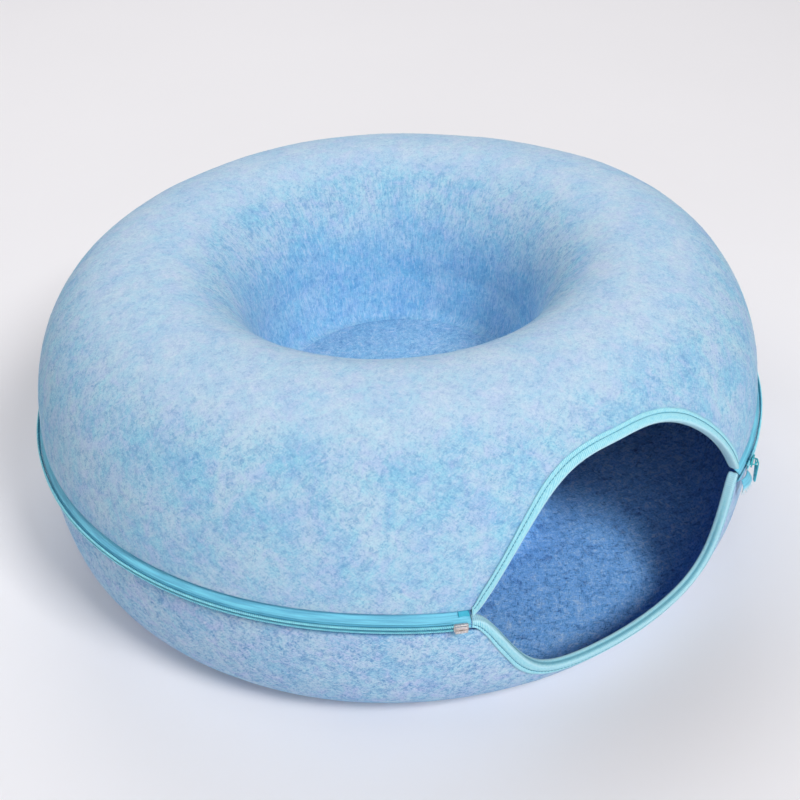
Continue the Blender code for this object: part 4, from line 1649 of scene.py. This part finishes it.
def make_fringe(half, azimuth, settings):
    """Short ends of the ribbon's weft along its free edge."""
    inside = azimuth[3:-3]
    distance, out = binding_section(half, inside)
    edge = distance[:, FRINGE_ROW]
    points = half.place(inside, edge + 0.0001, out[:, FRINGE_ROW])
    path = path_object(f"binding_{half.name}_fringe", points, half.facing(inside, edge))
    hair = tube("hair", FRINGE_HAIR, FRINGE_HAIR_RADII, 4)
    return repeated(path, hair, FRINGE_PITCH, 0.35, 6, grosgrain_ribbon(settings))


def smooth_line(points, count):
    """A rounded line through a few points of a section, as many as asked for."""
    points = np.asarray(points, float)
    along = distances(points)
    even = np.linspace(0.0, along[-1], count)
    line = np.stack([np.interp(even, along, points[:, k]) for k in range(2)], 1)
    for _ in range(3):
        line[1:-1] = (line[:-2] + 2 * line[1:-1] + line[2:]) / 4
    return line


def tape_line(half, azimuth):
    """The middle line of the tape's section, from behind the felt out to the coil."""
    behind = -FELT - SEAM_GAP - TAPE_T / 2
    up = half.outline.outer_side
    lip_end = TAPE_LIP_OPEN if azimuth < SLIDER_MOUTH_DEG else TAPE_LIP_END
    points = [
        half.outline.moved(ZIP_OPEN + TAPE_HIDDEN, behind),
        half.outline.moved(ZIP_OPEN - TAPE_SHOWS, behind),
        (TAPE_RIDGE_R, ZIP_Z + up * TAPE_LIP),
        (TAPE_RIDGE_R, ZIP_Z + up * lip_end),
    ]
    return smooth_line(points, TAPE_ROWS)


def make_tape(half, settings):
    """One zip tape, with its own thickness."""
    azimuth = zip_columns(TAPE_END_DEG, -TAPE_END_DEG, ZIP_STEP_DEG)
    lines = [tape_line(half, turn) for turn in azimuth]
    obj = strip(f"tape_{half.name}", azimuth, lines, np.zeros(TAPE_ROWS))
    dress(obj, (f"zip_tape_{half.name}",), woven_zip_tape(settings))
    sewn = [make_folded_end(settings)] if half is TOP else make_loose_tail(settings)


def strip(name, azimuths, lines, tone):
    """A strip of tape through a middle line for each azimuth, with a tone for each of its rows."""
    columns, cloth, tones = [], [], []
    for turn, line in zip(azimuths, lines):
        ahead = np.gradient(line, axis=0)
        ahead /= np.linalg.norm(ahead, axis=1, keepdims=True)
        normal = np.stack([ahead[:, 1], -ahead[:, 0]], 1) * TAPE_T / 2
        section = np.concatenate([line + normal, (line - normal)[::-1]])
        columns.append(on_ring(section[:, 0], turn, section[:, 1]))
        across = distances(line)
        across = np.concatenate([across, across[::-1]])
        along = np.full_like(across, math.radians(turn) * OUTER_R)
        cloth.append(np.stack([along, across, 0 * across], 1))
        tones.append(np.concatenate([tone, tone[::-1]]))
    fields = {"cloth": np.array(cloth), "tone": np.array(tones)}
    return loft(name, np.array(columns), False, fields)


def make_folded_end(settings):
    """The end of the top tape, folded back on itself beside the retainer box."""
    azimuths = np.linspace(-FOLDED_END_DEG[0], -FOLDED_END_DEG[1], 9)
    rows = 8
    lines = []
    for turn in azimuths:
        line = tape_line(TOP, turn)[FOLDED_END_ROWS].copy()
        line[:, 0] += FOLDED_END_LIFT + 0.0003 * math.cos(turn * 4)
        lines.append(smooth_line(line, rows))
    obj = strip("tape_top_folded_end", azimuths, lines, np.full(rows, -1.0))
    return dress(obj, (), woven_zip_tape(settings))


def make_loose_tail(settings):
    """The end of the bottom tape, which hangs loose under the slider, with its frayed yarns."""
    azimuths = np.linspace(*TAIL_DEG, 11)
    drop = np.linspace(0.0, 1.0, 13)
    lines = []
    for turn in azimuths:
        across = (turn - TAIL_DEG[0]) / (TAIL_DEG[1] - TAIL_DEG[0])
        curl = 0.0012 * math.cos(math.pi * (across - 0.5)) + 0.0022 * np.sin(2.4 * drop)
        twist = TAIL_TWIST * across * np.sqrt(drop)
        r = TAPE_RIDGE_R + TAIL_OUT + curl + twist
        z = ZIP_Z - TAIL_DROP - TAIL_L * drop * (1 - 0.1 * across)
        lines.append(np.stack([r, z], 1))
    faded = smoothstep(0.5, 1.0, drop)
    obj = strip("tape_bottom_tail", azimuths[::-1], lines[::-1], faded)
    dress(obj, (), woven_zip_tape(settings))
    ends = [on_ring(line[-1, 0], turn, line[-1, 1]) for line, turn in zip(lines, azimuths)]
    turns = np.radians(azimuths)
    out = np.stack([np.sin(turns), -np.cos(turns), 0 * turns], 1)
    path = path_object("tape_bottom_tail_yarns", ends[::-1], out)
    yarn = tube("yarn", YARN, YARN_RADII, 5)
    return obj, repeated(path, yarn, YARN_PITCH, 0.5, 9, frayed_yarn())


def coil_turn(name, pitch, up):
    """One turn of the nylon coil: out over the tape, round the head at the middle, and back."""
    wire, steps = COIL_WIRE_R, COIL_TURN_STEPS
    path = []
    far, deep = COIL_H - 2 * wire, COIL_OUT_R - COIL_IN_R - 2 * wire
    for i in range(steps + 1):
        turn = 2 * math.pi * i / steps
        across = far * (0.5 + 0.5 * math.cos(turn))
        lift = deep * (0.5 + 0.5 * math.sin(turn))
        path.append((pitch * (i / steps - 0.5), up * (across + wire), lift + wire))
    obj = tube(name, path, [wire] * len(path), 4)
    heights = np.array([abs(vertex.co.y) for vertex in obj.data.vertices])
    # Painted shade on the part of each turn near the middle line, where the heads lock.
    head = smoothstep(COIL_H * 0.26, COIL_H * 0.12, heights)
    obj.data.attributes.new("head", "FLOAT", "POINT").data.foreach_set("value", head)
    return obj


def make_coil(half, settings, thread_settings):
    """One row of the zip's coil with the sewing that holds it on its tape."""
    up = half.outline.outer_side
    pitch = settings.coil_pitch
    azimuth = zip_columns(COIL_FROM_DEG, COIL_TO_DEG, ZIP_STEP_DEG)
    level = np.full_like(azimuth, ZIP_Z + up * COIL_APART)
    points = on_ring(np.full_like(azimuth, COIL_IN_R), azimuth, level)
    outer = on_ring(np.full_like(azimuth, COIL_IN_R + 0.01), azimuth, level)
    out = (outer - points) / np.linalg.norm(outer - points, axis=1, keepdims=True)
    turn = coil_turn("turn", pitch, up)
    path = path_object(f"coil_{half.name}", points, out)
    nylon, nodes = nylon_monofilament(settings), (f"zip_coil_{half.name}",)
    repeated(path, turn, pitch, 0.0, 1, nylon, nodes)
    for name, height, radius, thickness in COIL_SEAMS:
        level = np.full_like(azimuth, ZIP_Z + up * height)
        line = on_ring(np.full_like(azimuth, radius), azimuth, level)
        stitch = stitch_shape("stitch", pitch * COIL_STITCH_SHARE, thickness, steps=3, sides=3)
        row = path_object(f"coil_{half.name}_{name}_stitches", line, out)
        repeated(row, stitch, pitch, 0.06, 8, spun_thread(thread_settings))


def on_zip(azimuth):
    """Local +X runs along the zip, -Y out of the ring and +Z up, from the zip's middle line."""
    turn = math.radians(azimuth)
    true_place = Vector(on_ring(np.float64(OUTER_R), azimuth, np.float64(ZIP_Z)))
    out = Vector((math.sin(turn), -math.cos(turn), 0.0))
    return Matrix.Translation(true_place - out * OUTER_R) @ Matrix.Rotation(turn, 4, "Z")


def flat_plate(name, outlines, thickness, edge):
    """A plate with rounded edges, cut to closed outlines in its local X and Z, facing -Y."""
    curve = bpy.data.curves.new(name, "CURVE")
    curve.dimensions = "2D"
    curve.fill_mode = "BOTH"
    curve.extrude = thickness / 2 - edge
    curve.bevel_depth = edge
    curve.bevel_resolution = 2
    curve.offset = -edge
    for outline in outlines:
        spline = curve.splines.new("POLY")
        spline.points.add(len(outline) - 1)
        for point, (x, y) in zip(spline.points, outline):
            point.co = (x, y, 0.0, 1.0)
        spline.use_cyclic_u = True
    flat = bpy.data.objects.new(name + "_outline", curve)
    bpy.context.scene.collection.objects.link(flat)
    depsgraph = bpy.context.evaluated_depsgraph_get()
    mesh = bpy.data.meshes.new_from_object(flat.evaluated_get(depsgraph))
    bpy.data.objects.remove(flat)
    mesh.transform(Matrix.Rotation(math.radians(90), 4, "X"))
    bm = bmesh.new()
    bm.from_mesh(mesh)
    bmesh.ops.remove_doubles(bm, verts=bm.verts, dist=0.000005)
    bmesh.ops.recalc_face_normals(bm, faces=bm.faces)
    bm.to_mesh(mesh)
    bm.free()
    mesh.shade_smooth()
    mesh.set_sharp_from_angle(angle=math.radians(35))
    obj = bpy.data.objects.new(name, mesh)
    bpy.context.scene.collection.objects.link(obj)
    return obj


def rounded(corners, radius, count=4):
    """A closed outline with its corners rounded."""
    points = []
    total = len(corners)
    for i, corner in enumerate(corners):
        before, after = corners[i - 1], corners[(i + 1) % total]
        points += [tuple(p) for p in fillet(before, corner, after, radius, count)]
    return points


def long_hole(top, bottom, top_width, bottom_width, steps=10):
    """A closed outline with two round ends."""
    points = []
    for end, width, start in ((top, top_width, 0.0), (bottom, bottom_width, math.pi)):
        centre = end - width / 2 if start == 0.0 else end + width / 2
        for i in range(steps + 1):
            turn = start + math.pi * i / steps
            points.append((width / 2 * math.cos(turn), centre + width / 2 * math.sin(turn)))
    return points


def merged(name, parts, place):
    """Several meshes as one object at the origin, put in place."""
    bm = bmesh.new()
    for part in parts:
        bm.from_mesh(part.data)
        bpy.data.objects.remove(part)
    mesh = bpy.data.meshes.new(name)
    bm.to_mesh(mesh)
    bm.free()
    mesh.transform(place)
    mesh.set_sharp_from_angle(angle=math.radians(35))
    obj = bpy.data.objects.new(name, mesh)
    bpy.context.scene.collection.objects.link(obj)
    return obj


def shifted(obj, y):
    """Moves a flat plate in or out."""
    obj.data.transform(Matrix.Translation((0.0, y, 0.0)))
    return obj


def make_slider(settings):
    """The slider: two shield-shaped plates, a wedge between them and a crown for the pull."""
    back_r, front_r = SLIDER_SLOT
    shield = [(x * MM, z * MM) for x, z in SHIELD_MM]
    front = flat_plate("slider_front", [rounded(shield, 0.0007)], SLIDER_PLATE, 0.0003)
    shifted(front, -front_r - SLIDER_PLATE / 2)
    small = [(x * BACK_PLATE[0], z * BACK_PLATE[1]) for x, z in shield]
    back = flat_plate("slider_back", [rounded(small, 0.0006)], SLIDER_PLATE, 0.0003)
    shifted(back, -back_r + SLIDER_PLATE / 2)
    outline = [(x * MM, z * MM) for x, z in WEDGE_MM]
    wedge = flat_plate("slider_wedge", [outline], front_r - back_r + 0.0004, 0.00015)
    shifted(wedge, -(front_r + back_r) / 2)
    parts = [front, back, wedge]
    for side in (-1, 1):
        path = [(x * MM, -front_r - 0.0001, side * z * MM) for x, z in FLANGE_MM]
        parts.append(tube(f"slider_flange_{side}", path, [FLANGE_R] * len(path), 8))
    crown_y = front_r + SLIDER_PLATE
    path = [(x * MM, -crown_y - y * MM, 0.0) for x, y in CROWN_MM]
    parts.append(tube("slider_crown", path, [CROWN_WIRE_R] * len(path), 10))
    obj = merged("slider", parts, on_zip(SLIDER_DEG))
    dress(obj, ("zip_slider",), enamelled_zinc(settings))


def make_pull_tab(settings):
    """The pull: a long flat tab with a hole for the crown and a raised middle."""
    outlines = [long_hole(**PULL_TAB), long_hole(**PULL_HOLE)]
    tab = flat_plate("pull_tab_body", outlines, 0.0008, 0.00025)
    pad = flat_plate("pull_tab_pad", [long_hole(**PULL_PAD)], 0.0010, 0.0002)
    turned = Matrix.Rotation(math.radians(PULL_TURN_DEG), 4, "Z")
    out = Matrix.Translation((0.0, -(SLIDER_SLOT[1] + SLIDER_PLATE + CROWN_OUT), 0.0))
    obj = merged("pull_tab", [tab, pad], on_zip(SLIDER_DEG) @ out @ turned)
    dress(obj, ("zip_pull_tab",), enamelled_zinc(settings))


def make_retainer_box(settings):
    """The pressed metal box on the start of both coils, with a lid over each of them."""
    middle = (BOX_FROM_DEG + BOX_TO_DEG) / 2
    half = math.radians(BOX_TO_DEG - BOX_FROM_DEG) / 2 * OUTER_R
    back_r = TAPE_RIDGE_R + TAPE_T / 2 + 0.0003
    deep = BOX_OUT_R - back_r
    corners = [(-half, -BOX_H / 2), (half, -BOX_H / 2), (half, BOX_H / 2), (-half, BOX_H / 2)]
    body = flat_plate("box_body", [rounded(corners, 0.0012)], deep * BOX_BODY_DEPTH, 0.0006)
    shifted(body, -back_r - deep * BOX_BODY_DEPTH / 2)
    parts = [body]
    for side in (-1, 1):
        ridge = [(-half * 0.86, side * BOX_H * 0.12), (half * 0.86, side * BOX_H * 0.12)]
        ridge += [(half * 0.86, side * BOX_H * 0.44), (-half * 0.86, side * BOX_H * 0.44)]
        ridge = ridge if side > 0 else ridge[::-1]
        lid = flat_plate(f"box_lid_{side}", [rounded(ridge, 0.0005)], BOX_LID_T, 0.0003)
        parts.append(shifted(lid, -BOX_OUT_R + BOX_LID_T / 2))
    obj = merged("retainer_box", parts, on_zip(middle))
    dress(obj, ("zip_retainer_box",), stamped_zinc(settings))


# ---------------------------------------------------------------- operators


class CATCAVE_OT_felt(bpy.types.Operator):
    """Makes both felt halves and the loose fibres on them"""

    bl_idname = "catcave.felt"
    bl_label = "Felt halves"

    def execute(self, context):
        settings = context.scene.cat_cave.felt
        for half in HALVES:
            felt = make_felt_half(half, settings)
            fibres = make_loose_fibres(half, felt, settings)
        return {"FINISHED"}


class CATCAVE_OT_bindings(bpy.types.Operator):
    """Makes the ribbons over the entrance's edges and their seams"""

    bl_idname = "catcave.bindings"
    bl_label = "Entrance bindings"

    def execute(self, context):
        for half in HALVES:
            make_binding(half, context.scene.cat_cave.binding)
        return {"FINISHED"}


class CATCAVE_OT_zip(bpy.types.Operator):
    """Makes the zip's tapes and coils"""

    bl_idname = "catcave.zip"
    bl_label = "Zip tapes and coils"

    def execute(self, context):
        settings = context.scene.cat_cave
        for half in HALVES:
            make_tape(half, settings.zip)
            make_coil(half, settings.zip, settings.binding)
        return {"FINISHED"}


class CATCAVE_OT_fittings(bpy.types.Operator):
    """Makes the zip's slider, its pull tab and the retainer box"""

    bl_idname = "catcave.fittings"
    bl_label = "Zip fittings"

    def execute(self, context):
        settings = context.scene.cat_cave.zip
        make_slider(settings)
        make_pull_tab(settings)
        make_retainer_box(settings)
        return {"FINISHED"}


class CATCAVE_OT_studio(bpy.types.Operator):
    """Makes the floor, the lights and the camera"""

    bl_idname = "catcave.studio"
    bl_label = "Studio"

    def execute(self, context):
        settings = context.scene.cat_cave.studio
        add_floor(settings)
        add_lights(context, settings)
        add_camera(context)
        context.scene.view_settings.view_transform = "Standard"
        context.scene.view_settings.look = "None"
        return {"FINISHED"}


def add_floor(settings):
    """A wide sheet of paper on the ground."""
    reach = FLOOR_REACH
    corners = [(-reach, -reach, 0), (reach, -reach, 0), (reach, reach, 0), (-reach, reach, 0)]
    floor = mesh_object("studio_floor", corners, [(0, 1, 2, 3)])
    floor.data.materials.append(studio_paper(settings))


def add_area_light(name, azimuth, elevation, distance, size, power, tint):
    """A square soft light that looks at the middle of the object."""
    data = bpy.data.lights.new(name, "AREA")
    data.shape = "SQUARE"
    data.size = size
    data.energy = power
    data.color = linear(tint)
    a, e = math.radians(azimuth), math.radians(elevation)
    towards = Vector((math.sin(a) * math.cos(e), -math.cos(a) * math.cos(e), math.sin(e)))
    light = bpy.data.objects.new(name, data)
    light.location = towards * distance + Vector((0, 0, LIGHT_AIM_Z))
    light.rotation_euler = (-towards).to_track_quat("-Z", "Y").to_euler()
    bpy.context.scene.collection.objects.link(light)


def add_lights(context, settings):
    """The soft lights, and a pale room that shines almost only where the camera sees it."""
    for name, setting, azimuth, elevation, distance, size, tint in LIGHTS:
        power = getattr(settings, setting)
        add_area_light(name, azimuth, elevation, distance, size, power, tint)
    world = bpy.data.worlds.new("studio_room")
    world.use_nodes = True
    tree = world.node_tree
    seen = add_node(tree, "ShaderNodeLightPath").outputs["Is Camera Ray"]
    strength = add_node(
        tree,
        "ShaderNodeMath",
        {0: seen, 1: ROOM_SEEN - settings.ambient, 2: settings.ambient},
        operation="MULTIPLY_ADD",
    )
    background = tree.nodes["Background"]
    background.inputs["Color"].default_value = colour(linear("F4F3F8"))
    set_inputs(tree, background, {"Strength": strength})
    context.scene.world = world


def add_camera(context):
    """The camera that the photograph was taken with, found from the ring's outline in it."""
    a, e = math.radians(CAMERA_AZIMUTH), math.radians(CAMERA_ELEVATION)
    aim = Vector((0, RING_Y, CAMERA_AIM_Z))
    back = Vector((math.sin(a) * math.cos(e), -math.cos(a) * math.cos(e), math.sin(e)))
    right = Vector((math.cos(a), math.sin(a), 0.0))
    ahead = -back
    up = right.cross(ahead)
    base = Matrix((right, up, ahead))
    y, p, r = (math.radians(t) for t in (CAMERA_YAW, CAMERA_PITCH, CAMERA_ROLL))
    yaw = Matrix(((math.cos(y), 0, -math.sin(y)), (0, 1, 0), (math.sin(y), 0, math.cos(y))))
    pitch = Matrix(((1, 0, 0), (0, math.cos(p), -math.sin(p)), (0, math.sin(p), math.cos(p))))
    roll = Matrix(((math.cos(r), -math.sin(r), 0), (math.sin(r), math.cos(r), 0), (0, 0, 1)))
    axes = roll @ pitch @ yaw @ base
    turned = Matrix((axes[0], axes[1], -axes[2])).transposed().to_4x4()
    data = bpy.data.cameras.new("camera")
    data.lens = CAMERA_LENS
    data.sensor_width = 36.0
    data.clip_start = 0.05
    camera = bpy.data.objects.new("camera", data)
    camera.matrix_world = Matrix.Translation(aim + back * CAMERA_DISTANCE) @ turned
    context.scene.collection.objects.link(camera)
    context.scene.camera = camera


class CATCAVE_PT_panel(bpy.types.Panel):
    """The steps, in order"""

    bl_idname = "CATCAVE_PT_panel"
    bl_label = "Cat cave"
    bl_space_type = "VIEW_3D"
    bl_region_type = "UI"
    bl_category = "Cat cave"

    def draw(self, context):
        for group in ("felt", "binding", "zip", "studio"):
            settings = getattr(context.scene.cat_cave, group)
            box = self.layout.box()
            box.label(text=group.capitalize())
            for key in settings.__annotations__:
                box.prop(settings, key)
        for step in STEPS:
            self.layout.operator(step.bl_idname)


STEPS = (
    CATCAVE_OT_felt,
    CATCAVE_OT_bindings,
    CATCAVE_OT_zip,
    CATCAVE_OT_fittings,
    CATCAVE_OT_studio,
)
SETTINGS = (FeltSettings, BindingSettings, ZipSettings, StudioSettings, CatCaveSettings)
CLASSES = (*SETTINGS, *STEPS, CATCAVE_PT_panel)


def register():
    """Adds the settings, the steps and the panel."""
    for item in CLASSES:
        bpy.utils.register_class(item)
    bpy.types.Scene.cat_cave = bpy.props.PointerProperty(type=CatCaveSettings)


def unregister():
    """Takes them out again."""
    del bpy.types.Scene.cat_cave
    for item in reversed(CLASSES):
        bpy.utils.unregister_class(item)


def main():
    """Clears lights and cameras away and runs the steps."""
    for obj in list(bpy.context.scene.objects):
        if obj.type in ("LIGHT", "CAMERA"):
            bpy.data.objects.remove(obj)
    register()
    bpy.ops.catcave.felt()
    bpy.ops.catcave.bindings()
    bpy.ops.catcave.zip()
    bpy.ops.catcave.fittings()
    bpy.ops.catcave.studio()


if __name__ == "__main__":
    main()
